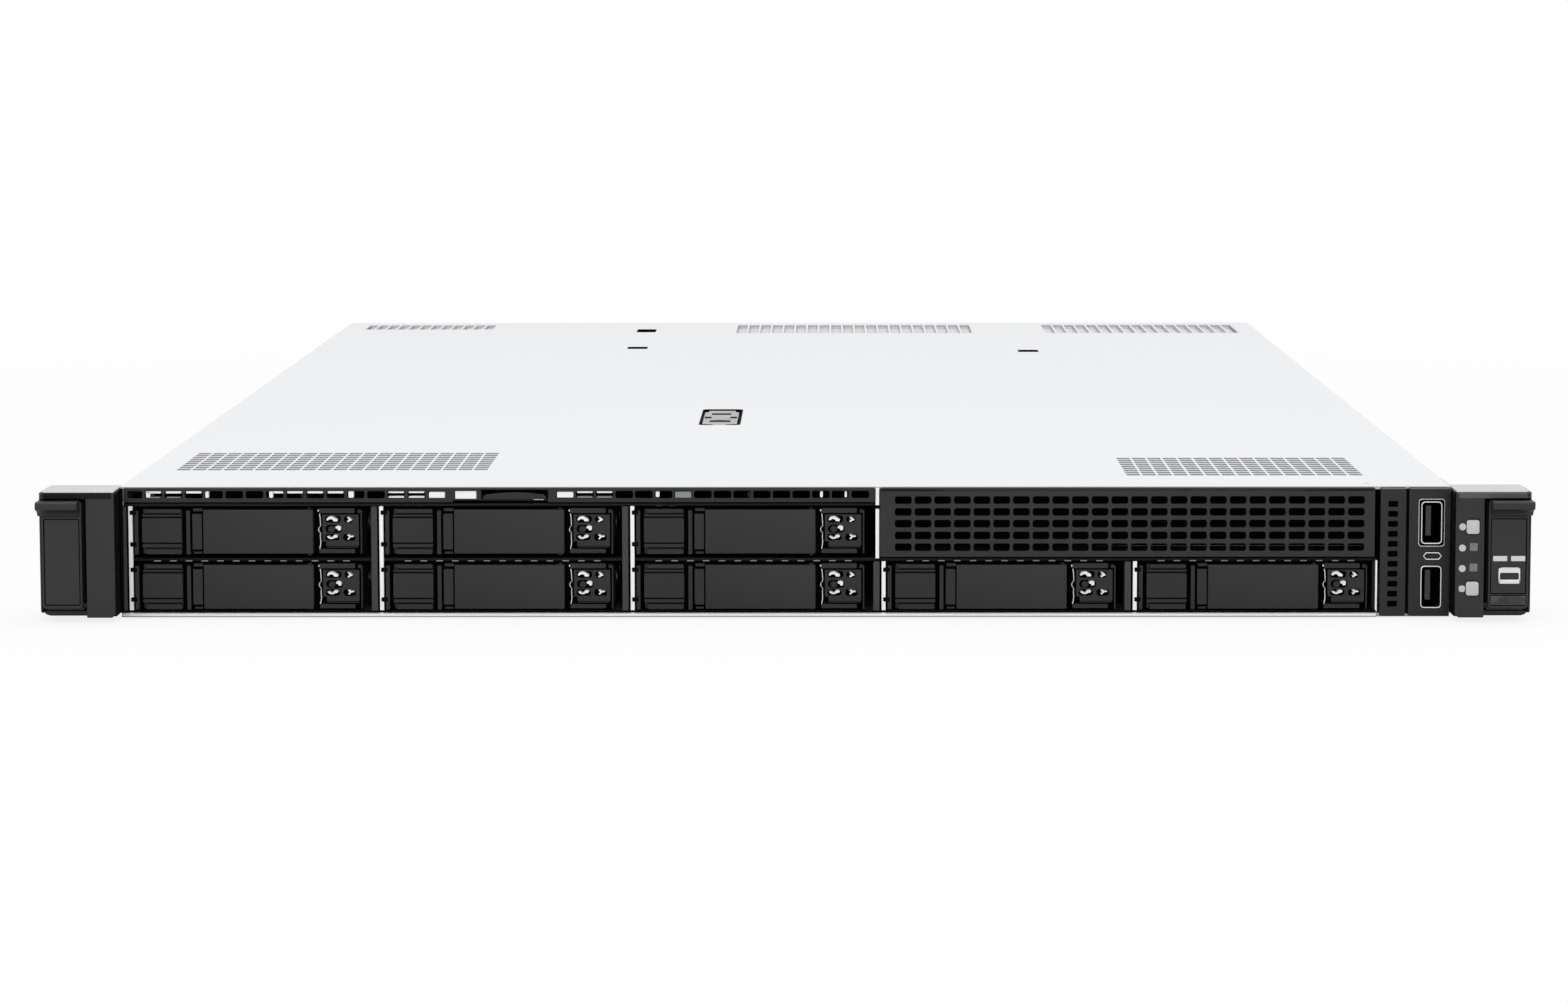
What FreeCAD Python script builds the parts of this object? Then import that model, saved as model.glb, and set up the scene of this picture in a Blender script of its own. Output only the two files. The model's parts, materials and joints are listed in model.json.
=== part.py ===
import FreeCAD, Part
import Sketcher
import os
import re

# A one-unit rack server, in millimetres. X runs to the right seen from the front, Y to the rear, Z up.
# The origin is on the underside, on the centre line, in the plane of the ears' rear faces.

doc = FreeCAD.newDocument("rack_server")
sheet = doc.addObject("Spreadsheet::Sheet", "sizes")

driving = {
    # chassis and covers
    "chassis_width": 434.6, "chassis_height": 42.8, "chassis_length": 749.0, "bezel_lead": 10.0,
    "tray_gauge": 1.2, "cover_gauge": 1.0, "bezel_gauge": 1.6, "bezel_top": 42.5, "lip_lead": 9.9,
    "seam_place": 140.0, "seam_gap": 0.4, "flange_drop": 1.6, "flange_gauge": 0.8, "flange_inset": 0.3,
    "flange_start": 24.0, "flange_end": 3.0, "sheet_play": 0.1,
    "card_window_left": 64.0, "card_window_right": 208.0, "card_window_low": 22.5,
    # perforated fields and vents of the covers
    "cell_width": 4.5, "cell_length": 5.3, "cell_pitch_across": 5.3, "cell_pitch_along": 6.7,
    "left_field_start": 206.2, "left_field_front": 44.5, "left_field_columns": 20,
    "right_field_start": 114.0, "right_field_front": 26.0, "right_field_columns": 15, "field_rows": 9,
    "vent_web": 1.0, "pin_hole": 0.9, "pin_hole_across": 191.0, "pin_hole_along": 1.0,
    "left_vent_start": 206.6, "left_vent_cell": 4.15, "left_vent_front": 696.0, "left_vent_cells": 12,
    "centre_vent_start": 29.0, "centre_vent_cell": 4.6, "centre_vent_front": 671.0, "centre_vent_cells": 20,
    "right_vent_start": 116.8, "right_vent_cell": 4.4, "right_vent_front": 671.0, "right_vent_cells": 17,
    "vent_back": 724.0, "catch_width": 9.0, "catch_length": 5.0, "catch_left": 76.4, "catch_right": 99.3,
    "rear_catch": 678.0, "rear_catch_length": 18.0, "left_catch": 579.0, "right_catch": 560.0,
    # latch of the access panel
    "latch_left": 34.0, "latch_right": 18.5, "latch_front": 207.0, "latch_back": 273.0,
    "latch_wall": 1.5, "latch_floor": 34.0, "latch_floor_gauge": 1.0, "latch_rim": 0.5,
    "latch_well_margin": 2.4, "latch_well_room": 0.8, "latch_pivot_along": 269.5, "latch_pivot_height": 38.9,
    "latch_pin": 1.2, "latch_running": 0.08, "latch_gap": 0.6, "latch_arm": 3.0, "latch_pin_reach": 0.8,
    "latch_grip_back": 28.0, "latch_grip_proud": 0.6, "latch_step_inset": 2.0, "latch_step_length": 14.0,
    "latch_step_drop": 0.3,
    # drive bays, measured from the left edge of a column
    "column_start": 216.6, "column_pitch": 82.1, "row_pitch": 18.2, "carrier_left": 3.7,
    "carrier_right": 78.55, "carrier_bottom": 1.9, "carrier_top": 17.9, "carrier_wall": 2.5,
    "carrier_back_plate": 5.5, "carrier_plate": 1.5, "carrier_length": 106.0,
    "bar_width": 1.6, "middle_bar_left": 21.05, "middle_bar_right": 25.9, "face_setback": 0.5,
    "button_left": 6.4, "button_width": 13.3, "button_bottom": 2.4, "button_height": 15.0,
    "button_base": 1.2, "button_depth": 3.5, "button_stem": 5.0, "button_play": 0.25, "stem_gap": 0.3,
    "air_windows": 3, "air_margin": 3.0, "air_width": 9.0, "air_pitch": 11.0,
    "hook_inset": 1.0, "hook_gauge": 2.0, "lug_reach": 2.0,
    "lever_left": 26.5, "lever_right": 62.55, "lever_bottom": 2.7, "lever_height": 14.5, "lever_depth": 2.4,
    "lever_pivot": 61.2, "lever_pivot_depth": 1.6, "lever_pin": 0.7, "lever_running": 0.07, "lug_height": 0.6,
    "panel_left": 65.3, "panel_right": 77.5, "panel_margin": 1.0, "panel_plate": 1.2,
    "drive_width": 69.85, "drive_height": 14.8, "drive_length": 100.2, "drive_front": 12.0,
    "drive_notch": 44.0, "drive_notch_depth": 4.0, "drive_notch_height": 7.0,
    "drive_socket": 42.0, "drive_socket_height": 6.0,
    "strip_left": 1.9, "strip_right": 3.0, "post_right": 1.3, "cage_setback": 1.0, "cage_back": 106.0,
    "post_back": 46.0, "shelf_setback": 1.0,
    "shelf_low": 18.3, "shelf_high": 19.3, "cage_top_low": 36.6, "cage_top_high": 37.4,
    "cage_right": 193.1, "bay_wall": 1.2,
    "backplane_front": 110.0, "backplane_gauge": 2.0, "backplane_socket": 5.0,
    # strip of vents over the drives, media bay blank and port bezel
    "strip_low": 37.8, "strip_end": 29.6, "slot_width": 5.65, "slot_pitch": 6.45, "slot_low": 39.2,
    "slot_height": 2.4, "slots": 16, "left_slots_start": 213.5, "right_slots_start": 74.4,
    "tab_left": 99.0, "tab_right": 77.2, "tab_low": 38.7, "tab_high": 41.2, "tab_play": 0.3,
    "tab_length": 70.0,
    "tab_gauge": 1.4, "tab_lip_inset": 1.0, "tab_guide": 2.0, "strip_shelf": 4.0, "strip_floor": 0.6,
    "window_left": 107.4, "window_right": 100.9,
    "blank_left": 31.2, "blank_right": 192.6, "blank_low": 19.8, "blank_depth": 30.0,
    "grille_left": 36.1, "grille_low": 21.7, "grille_hole": 5.4, "grille_hole_height": 2.5,
    "grille_pitch": 6.42, "grille_row_pitch": 3.87, "grille_columns": 24, "grille_rows": 5,
    "port_left": 194.4, "port_right": 216.9, "port_low": 0.4, "port_depth": 22.0,
    "port_margin": 0.5, "port_housing_top": 40.2, "port_back": 1.0,
    "side_vent_left": 196.9, "side_vent_width": 3.4, "side_vent_low": 3.4, "side_vent_height": 2.0,
    "side_vent_pitch": 3.28, "side_vents": 11, "groove_left": 203.8, "groove_right": 204.5,
    "groove_depth": 0.6,
    "usb_left": 207.6, "usb_width": 6.9, "usb_height": 14.0, "usb_wall": 0.7, "usb_depth": 16.0,
    "usb_low": 2.9, "usb_high": 24.0, "usb_tongue": 1.84, "usb_proud": 0.4,
    "tongue_setback": 1.2,
    "service_left": 208.3, "service_low": 18.7, "service_width": 6.3, "service_height": 2.7,
    "service_wall": 0.4,
    # rack ears
    "ear_inner": 217.5, "ear_split": 226.9, "ear_outer": 241.9, "ear_low": 1.2, "ear_high": 42.5,
    "ear_front": 20.5, "ear_flange": 3.0, "ear_strap": 1.5, "ear_strap_back": 28.0, "ear_shelf": 1.0,
    "ear_floor_front": 12.0, "rack_hole_spacing": 465.1, "rack_hole": 3.3, "rack_hole_height": 22.2,
    "latch_plate_low": 3.6, "latch_plate_high": 39.6, "latch_plate_front": 21.5, "latch_plate_gauge": 2.5,
    "lip_low": 37.1, "lip_reach": 5.0, "lip_side": 0.4, "sweep_height": 4.0,
    "ear_pivot_along": 17.5, "ear_pivot_height": 5.2, "ear_pin": 1.2, "ear_running": 0.08, "knuckle": 1.6,
    "hook_low": 28.5, "hook_high": 31.5, "hook_width": 5.0, "hook_room": 1.2, "hook_swing": 5.0,
    "hook_stop": 0.5, "lip_inset": 1.0, "sweep_edge": 0.3, "knuckle_inset": 2.0,
    "pivot_bore_depth": 4.5, "ear_pin_depth": 4.0,
    # buttons and lights of the right ear
    "key_left": 221.0, "key_width": 4.1, "key_height": 4.5, "power_low": 28.6, "id_low": 8.5,
    "key_proud": 0.9, "key_length": 4.6, "key_play": 0.2, "key_travel": 1.5,
    "lamp_left": 222.1, "lamp_size": 2.6, "lamp_high": 23.0, "lamp_low": 16.3,
    "dot_left": 218.6, "dot_size": 2.3, "dot_power": 29.7, "dot_high": 22.8, "dot_low": 16.1, "dot_id": 9.5,
    "lens_length": 3.0, "lens_proud": 0.2,
    # fans
    "fan_count": 7, "fan_pitch": 61.0, "fan_width": 40.4, "fan_front": 148.0, "fan_length": 56.0,
    "fan_low": 1.2, "fan_high": 41.0, "fan_bore": 18.9, "fan_hub": 9.5, "fan_tip": 18.1,
    "rotor_front": 156.0, "rotor_length": 36.0, "blade_gauge": 1.4, "blade_angle": 38.0,
    "blade_count": 7, "blade_length": 30.0,
    "shaft": 1.5, "shaft_running": 0.08, "shaft_end": 0.5, "strut": 2.4, "strut_root": 0.3,
    "mount_gauge": 4.0,
    # board and what stands on it
    "board_low": 6.0, "board_gauge": 1.6, "board_front": 215.0, "board_step": 545.0, "board_back": 736.0,
    "board_side": 212.0, "board_notch": 36.0, "standoff": 2.5,
    "leg_inset": 8.0, "leg_inner": 61.0,
    "cpu_across": 104.0, "cpu_front": 300.0, "cpu_width": 72.0, "cpu_inset": 18.0, "socket_end": 5.0,
    "sink_width": 80.0, "sink_length": 108.0, "sink_low": 11.0,
    "sink_base": 5.0, "sink_high": 36.0, "fin_gauge": 0.8, "fin_pitch": 3.3, "fins": 25,
    "module_front": 290.0, "module_length": 133.35, "module_height": 30.0, "module_gauge": 3.2,
    "module_pitch": 9.0, "modules_per_bank": 6, "module_low": 10.6, "socket_width": 6.4,
    "inner_bank": 10.5, "outer_bank": 152.5,
    # riser cage and rear connectors
    "riser_left": 58.0, "riser_right": 213.0, "riser_front": 560.0, "riser_high": 40.8,
    "riser_gauge": 1.0, "slot_window_low": 21.5, "slot_window_high": 38.5, "riser_wall_gap": 24.0,
    "blank_inset": 3.0, "blank_vents": 18, "blank_vent_start": 8.0, "blank_vent_pitch": 8.0,
    "blank_vent_width": 5.5, "riser_card_gauge": 1.6, "riser_card_inset": 6.0, "riser_card_gap": 40.0,
    "jack_width": 15.9, "jack_height": 13.4, "jack_depth": 21.0, "jack_wall": 1.6, "jack_pitch": 16.6,
    "jack_start": 78.0, "jack_low": 7.6, "jack_count": 4, "jack_play": 0.3,
    "jack_mouth": 15.0, "display_left": 8.0, "display_width": 31.0, "display_height": 12.5,
    "display_depth": 14.0, "display_side": 7.0, "display_edge": 2.0, "display_reach": 5.0,
    # power supplies
    "supply_left": 214.8, "supply_width": 86.3, "supply_pitch": 88.1, "supply_low": 1.7, "supply_high": 40.0,
    "supply_length": 186.0, "supply_wall": 1.0, "bay_play": 0.5, "inlet_left": 8.0, "inlet_width": 26.0,
    "inlet_height": 20.0, "inlet_low": 6.0, "inlet_depth": 18.0, "inlet_wall": 1.8, "inlet_blade": 2.0,
    "inlet_proud": 1.0, "blade_setback": 4.0, "blade_height": 4.0, "core_start": 8.0, "core_end": 70.0,
    "core_high": 33.0, "tab_side": 1.0, "tab_clear": 0.3, "tab_gap": 0.5, "tab_pivot": 2.0,
    "thumb_width": 4.0,
    "handle_left": 40.0, "handle_right": 70.0, "handle_low": 22.0, "handle_high": 30.0, "handle_reach": 24.0,
    "handle_bar": 4.0, "exhaust_left": 38.0, "exhaust_cell": 3.6, "exhaust_pitch": 5.0, "exhaust_columns": 7,
    "exhaust_rows": 3, "exhaust_low": 4.5, "tab_plate": 3.0, "tab_place": 78.0, "tab_base": 14.0,
    "tab_top": 28.0, "tab_reach": 19.0, "tab_pin": 1.0, "tab_running": 0.07, "tab_lug": 1.4,
    # studs that hang the chassis on its rails
    "stud_radius": 2.9, "stud_length": 3.0, "stud_head": 4.4, "stud_head_gauge": 1.2, "stud_height": 21.4,
    "stud_first": 80.0, "stud_pitch": 245.0,
}

for row, (alias, value) in enumerate(driving.items(), 1):
    sheet.set(f"A{row}", alias)
    sheet.set(f"B{row}", str(value))
    sheet.setAlias(f"B{row}", alias)
doc.recompute()

# Places that follow from the driving sizes, as formulas on the sheet.
half = "chassis_width/2"
face = "(-bezel_lead)"
rear = "(chassis_length - bezel_lead)"
roof = "(chassis_height - cover_gauge)"
bezel_back = "(bezel_gauge - bezel_lead)"

# Blades of a supply's inlet, each as (across from its middle, up from its base).
blade_places = [(-7, 5), (0, 10.5), (7, 5)]

# Steps of a release button, each as (from, to, depth behind its front ridge), bottom to top.
button_steps = [(0.0, 0.9, 0.9), (1.7, 3.2, 0.4), (4.0, 11.0, 0.0), (11.8, 13.3, 0.4), (14.1, 15.0, 0.9)]

# Windows of a drive's indicator plate, each as (across, up, width, height) from the plate's lower left.
lamp_windows = [(2.0, 1.2, 3.2, 2.6), (2.0, 5.4, 2.4, 3.2), (2.0, 10.0, 3.2, 2.6), (6.8, 3.0, 3.4, 3.6),
                (6.8, 8.4, 3.4, 3.0)]

drive_bays = [(column, row) for row in range(2) for column in range(5) if row == 0 or column < 3]
finished = []


# ---- helpers ----

def bind(item, path, formula):
    item.setExpression(path, re.sub(r"[a-z]\w+", lambda word: "sizes." + word.group(), str(formula)))


def size(alias):
    return driving[alias]


def box(name, low, high):
    block = doc.addObject("Part::Box", name)
    for axis, side, start, end in zip("xyz", ("Length", "Width", "Height"), low, high):
        bind(block, side, f"({end}) - ({start})")
        bind(block, "Placement.Base." + axis, start)
    return block


def cylinder(name, radius, length, start, along):
    turns = {"x": ((0, 1, 0), 90), "y": ((1, 0, 0), -90), "z": ((0, 0, 1), 0)}
    rod = doc.addObject("Part::Cylinder", name)
    bind(rod, "Radius", radius)
    bind(rod, "Height", length)
    axis, angle = turns[along]
    rod.Placement.Rotation = FreeCAD.Rotation(FreeCAD.Vector(*axis), angle)
    for letter, place in zip("xyz", start):
        bind(rod, "Placement.Base." + letter, place)
    return rod


def fuse(name, shapes):
    joined = doc.addObject("Part::MultiFuse", name)
    joined.Shapes = shapes
    joined.Refine = True
    return joined


def cut(name, base, tools):
    result = doc.addObject("Part::Cut", name)
    result.Base = base
    result.Tool = tools[0] if len(tools) == 1 else group(name + "_tools", tools)
    return result


def group(name, shapes):
    gathered = doc.addObject("Part::Compound", name)
    gathered.Links = shapes
    return gathered


def keep(item, node):
    item.Label = node
    finished.append(item)
    return item


def shift(item, across=None, up=None):
    if across:
        bind(item, "Placement.Base.x", across)
    if up:
        bind(item, "Placement.Base.z", up)


def plane(body, role):
    return next(item for item in body.Origin.OriginFeatures if item.Role == role)


# A sketch of rectangles, each given as (left, low, right, high) in the plane's own two directions.
def rectangles(body, name, role, level, outlines):
    sketch = body.newObject("Sketcher::SketchObject", name)
    sketch.AttachmentSupport = [(plane(body, role), "")]
    sketch.MapMode = "FlatFace"
    bind(sketch, "AttachmentOffset.Base.z", level)
    for outline in outlines:
        guess = [(0, 0), (10, 0), (10, 10), (0, 10)]
        corners = [FreeCAD.Vector(x, y, 0) for x, y in guess]
        first = sketch.GeometryCount
        for index in range(4):
            sketch.addGeometry(Part.LineSegment(corners[index], corners[(index + 1) % 4]), False)
        for index in range(4):
            sketch.addConstraint(Sketcher.Constraint("Coincident", first + index, 2,
                                                     first + (index + 1) % 4, 1))
        for index, kind in enumerate(("Horizontal", "Vertical", "Horizontal", "Vertical")):
            sketch.addConstraint(Sketcher.Constraint(kind, first + index))
        left, low, right, high = outline
        for kind, edge, end, place in (("DistanceX", 0, 1, left), ("DistanceY", 0, 1, low),
                                       ("DistanceX", 2, 1, right), ("DistanceY", 2, 1, high)):
            number = sketch.addConstraint(Sketcher.Constraint(kind, -1, 1, first + edge, end, 10.0))
            bind(sketch, f"Constraints[{number}]", place)
    return sketch


def pad(body, name, sketch, length, reverse=False):
    feature = body.newObject("PartDesign::Pad", name)
    feature.Profile = sketch
    feature.Reversed = reverse
    bind(feature, "Length", length)
    return feature


def pocket(body, name, sketch, length):
    feature = body.newObject("PartDesign::Pocket", name)
    feature.Profile = sketch
    bind(feature, "Length", length)
    return feature


# Repeats a pocket along one direction of its sketch, and along the vertical one where rows are given.
def repeat(body, pocketed, sketch, pitch, count, row_pitch=None, rows=None, first="H_Axis"):
    pattern = body.newObject("PartDesign::LinearPattern", pocketed.Name + "_pattern")
    pattern.Originals = [pocketed]
    pattern.Direction = (sketch, [first])
    pattern.Mode = "Spacing"
    bind(pattern, "Offset", pitch)
    bind(pattern, "Occurrences", count)
    if rows:
        pattern.Direction2 = (sketch, ["V_Axis"])
        pattern.Mode2 = "Spacing"
        bind(pattern, "Offset2", row_pitch)
        bind(pattern, "Occurrences2", rows)
    body.Tip = pattern
    return pattern


# ---- chassis and covers ----

# Riveted sheets: a floor pan with its front lip, two side walls, the wall behind the cards and ports,
# and the divider between the power supply bays.
def chassis_tray():
    wall = f"({half} - tray_gauge)"
    divider = "(supply_width - supply_left + bay_play)"
    bay_front = f"{rear} - supply_length"
    bays_end = "(supply_pitch + supply_width - supply_left + bay_play)"
    pan = box("floor_pan", (f"-{half}", bezel_back, "0"), (half, rear, "tray_gauge"))
    lip = box("front_lip", (f"-{half}", "-lip_lead", "0"), ("port_left - 1", bezel_back, "tray_gauge"))
    sheets = [fuse("floor", [pan, lip]),
              box("left_wall", (f"-{half}", bezel_back, "tray_gauge"), (f"-{wall}", rear, roof)),
              box("right_wall", (wall, bezel_back, "tray_gauge"), (half, rear, roof)),
              box("bay_divider", (divider, bay_front, "tray_gauge"),
                  (f"{divider} + flange_gauge", rear, roof)),
              rear_wall(bays_end, wall)]
    keep(group("tray", sheets), "chassis_tray")


def rear_wall(left, right):
    body = doc.addObject("PartDesign::Body", "rear_wall")
    outer_face = f"-{rear}"
    plate = rectangles(body, "rear_outline", "XZ_Plane", f"tray_gauge - {rear}",
                       [(left, "tray_gauge", right, roof)])
    pad(body, "rear_plate", plate, "tray_gauge", reverse=True)
    jacks_end = "(jack_start + (jack_count - 1)*jack_pitch + jack_width)"
    windows = [("display_left - jack_play", "jack_low - jack_play",
                "display_left + display_width + jack_play", "jack_low + display_height + jack_play"),
               ("jack_start - jack_play", "jack_low - jack_play",
                f"{jacks_end} + jack_play", "jack_low + jack_height + jack_play"),
               ("card_window_left", "card_window_low", "card_window_right", "slot_window_high")]
    openings = rectangles(body, "rear_openings", "XZ_Plane", outer_face, windows)
    hole = pocket(body, "rear_windows", openings, "3*tray_gauge")
    hole.Midplane = True
    return body


def cover_sheet(body, front_edge, back_edge):
    sheet_outline = rectangles(body, body.Name + "_sheet", "XY_Plane", roof,
                               [(f"-{half}", front_edge, half, back_edge)])
    pad(body, body.Name + "_plate", sheet_outline, "cover_gauge")
    outer = f"({half} - tray_gauge - flange_inset)"
    inner = f"({outer} - flange_gauge)"
    start, end = f"{front_edge} + flange_start", f"{back_edge} - flange_end"
    flange_outline = rectangles(body, body.Name + "_flange_outlines", "XY_Plane", f"{roof} - flange_drop",
                                [(f"-{outer}", start, f"-{inner}", end), (inner, start, outer, end)])
    pad(body, body.Name + "_flanges", flange_outline, "flange_drop + cover_gauge/2")


def hole_field(body, name, left, front_edge, width, length, pitch, columns, row_pitch=None, rows=None):
    outline = rectangles(body, name + "_cell", "XY_Plane", "chassis_height",
                         [(left, front_edge, f"{left} + {width}", f"{front_edge} + {length}")])
    hole = pocket(body, name, outline, "2*cover_gauge")
    doc.recompute()
    repeat(body, hole, outline, pitch, columns, row_pitch, rows)


def front_cover():
    body = doc.addObject("PartDesign::Body", "front")
    cover_sheet(body, bezel_back, "(seam_place - seam_gap/2)")
    hole_field(body, "left_field", "-left_field_start", "left_field_front", "cell_width", "cell_length",
               "cell_pitch_across", "left_field_columns", "cell_pitch_along", "field_rows")
    hole_field(body, "right_field", "right_field_start", "right_field_front", "cell_width", "cell_length",
               "cell_pitch_across", "right_field_columns", "cell_pitch_along", "field_rows")
    pin = rectangles(body, "pin_outline", "XY_Plane", "chassis_height",
                     [("pin_hole_across - pin_hole", "pin_hole_along - pin_hole",
                       "pin_hole_across + pin_hole", "pin_hole_along + pin_hole")])
    pocket(body, "pin_hole", pin, "2*cover_gauge")
    return keep(body, "front_cover")


def access_panel():
    body = doc.addObject("PartDesign::Body", "panel")
    cover_sheet(body, "(seam_place + seam_gap/2)", f"({rear})")
    openings = [("-latch_left", "latch_front", "-latch_right", "latch_back"),
                ("-catch_left", "rear_catch", "catch_width - catch_left", "rear_catch + rear_catch_length"),
                ("-catch_left", "left_catch", "catch_width - catch_left", "left_catch + catch_length"),
                ("catch_right", "right_catch", "catch_right + catch_width", "right_catch + catch_length")]
    outline = rectangles(body, "panel_openings", "XY_Plane", "chassis_height", openings)
    pocket(body, "latch_and_catch_openings", outline, "2*cover_gauge")
    for side, sign in (("left", "-"), ("centre", "-"), ("right", "")):
        name = side + "_vent"
        hole_field(body, name, f"({sign}{name}_start)", f"{name}_front", f"{name}_cell",
                   f"(vent_back - {name}_front)", f"({name}_cell + vent_web)", f"{name}_cells")
    return keep(body, "access_panel")


def cover_latch():
    outer = box("latch_well_outer",
                ("-latch_left - latch_wall - latch_rim", "latch_front - latch_well_margin", "latch_floor"),
                ("latch_wall + latch_rim - latch_right", "latch_back + latch_well_margin", roof))
    inner = box("latch_well_inner",
                ("-latch_left - latch_rim", "latch_front - latch_well_room",
                 "latch_floor + latch_floor_gauge"),
                ("latch_rim - latch_right", "latch_back + latch_well_room", "chassis_height"))
    bore = cylinder("latch_bore", "latch_pin + latch_running", "latch_left - latch_right + 2*latch_pin_reach",
                    ("-latch_left - latch_pin_reach", "latch_pivot_along", "latch_pivot_height"), "x")
    keep(cut("latch_well", outer, [inner, bore]), "cover_latch_base")
    left, right = "(latch_gap - latch_left)", "(-latch_right - latch_gap)"
    arm_low, arm_high = "latch_pivot_height - latch_arm/3", "latch_pivot_height + latch_arm*2/3"
    grip_back = "latch_back - latch_grip_back"
    arm = box("latch_arm_plate", (left, "latch_front + latch_well_room", arm_low),
              (right, "latch_pivot_along + 2", arm_high))
    grip = box("latch_grip", (left, "latch_front + latch_well_room", "latch_pivot_height"),
               (right, grip_back, f"{roof} + latch_grip_proud"))
    step = box("latch_step", (f"{left} + latch_step_inset", grip_back, "latch_pivot_height"),
               (f"{right} - latch_step_inset", f"{grip_back} + latch_step_length",
                f"{roof} - latch_step_drop"))
    pin = cylinder("latch_axle", "latch_pin", "latch_left - latch_right + 2*latch_pin_reach",
                   ("-latch_left - latch_pin_reach", "latch_pivot_along", "latch_pivot_height"), "x")
    keep(fuse("latch_handle", [arm, grip, step, pin]), "cover_latch_lever")


# ---- drive bays ----

def column_edge(column):
    return f"({column}*column_pitch - column_start)"


# Riveted plates: the shelf between the rows, the roof, and in each row the uprights between the columns.
def drive_cage():
    front = "(cage_setback - bezel_lead)"
    left_edge = f"(tray_gauge + sheet_play - {half})"
    blank_edge = f"({column_edge(3)} + post_right)"
    plates = [box("cage_shelf", (left_edge, f"{front} + shelf_setback", "shelf_low"),
                  ("cage_right", "cage_back", "shelf_high")),
              box("cage_roof", (left_edge, front, "cage_top_low"),
                  (blank_edge, "cage_back", "cage_top_high"))]
    for row, (columns, low, high) in enumerate(((5, "tray_gauge", "shelf_low"),
                                                (3, "shelf_high", "cage_top_low"))):
        for column in range(columns):
            edge = column_edge(column)
            plates.append(box(f"strip_{column}_{row}", (f"{edge} + strip_left", front, low),
                              (f"{edge} + strip_right", "cage_back", high)))
            if column:
                plates.append(box(f"post_{column}_{row}", (edge, front, low),
                                  (f"{edge} + post_right", "post_back", high)))
        plates.append(box(f"left_upright_{row}", (left_edge, front, low),
                          (f"{column_edge(0)} + post_right", "cage_back", high)))
    plates.append(box("right_upright", ("cage_right - bay_wall", front, "tray_gauge"),
                      ("cage_right", "cage_back", "shelf_low")))
    plates.append(box("media_bay_side", (column_edge(3), f"{front} + bezel_gauge", "shelf_high"),
                      (blank_edge, "cage_back", "cage_top_low")))
    keep(group("cage", plates), "drive_cage")


def drive_backplane():
    back = "(backplane_front + backplane_gauge)"
    pieces = [box("board_lower", (f"2*tray_gauge - {half}", "backplane_front", "2*tray_gauge"),
                  ("cage_right - 2", back, "shelf_low")),
              box("board_upper", (f"2*tray_gauge - {half}", "backplane_front", "shelf_low"),
                  (column_edge(3), back, "cage_top_low"))]
    for column, row in drive_bays:
        middle = f"({column_edge(column)} + (carrier_left + carrier_right)/2)"
        bottom = f"({row}*row_pitch + carrier_bottom + carrier_wall)"
        pieces.append(box(f"socket_{column}_{row}",
                          (f"{middle} - drive_socket/2", "backplane_front - backplane_socket", bottom),
                          (f"{middle} + drive_socket/2", "backplane_front",
                           f"{bottom} + drive_socket_height")))
    keep(fuse("backplane", pieces), "drive_backplane")


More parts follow.
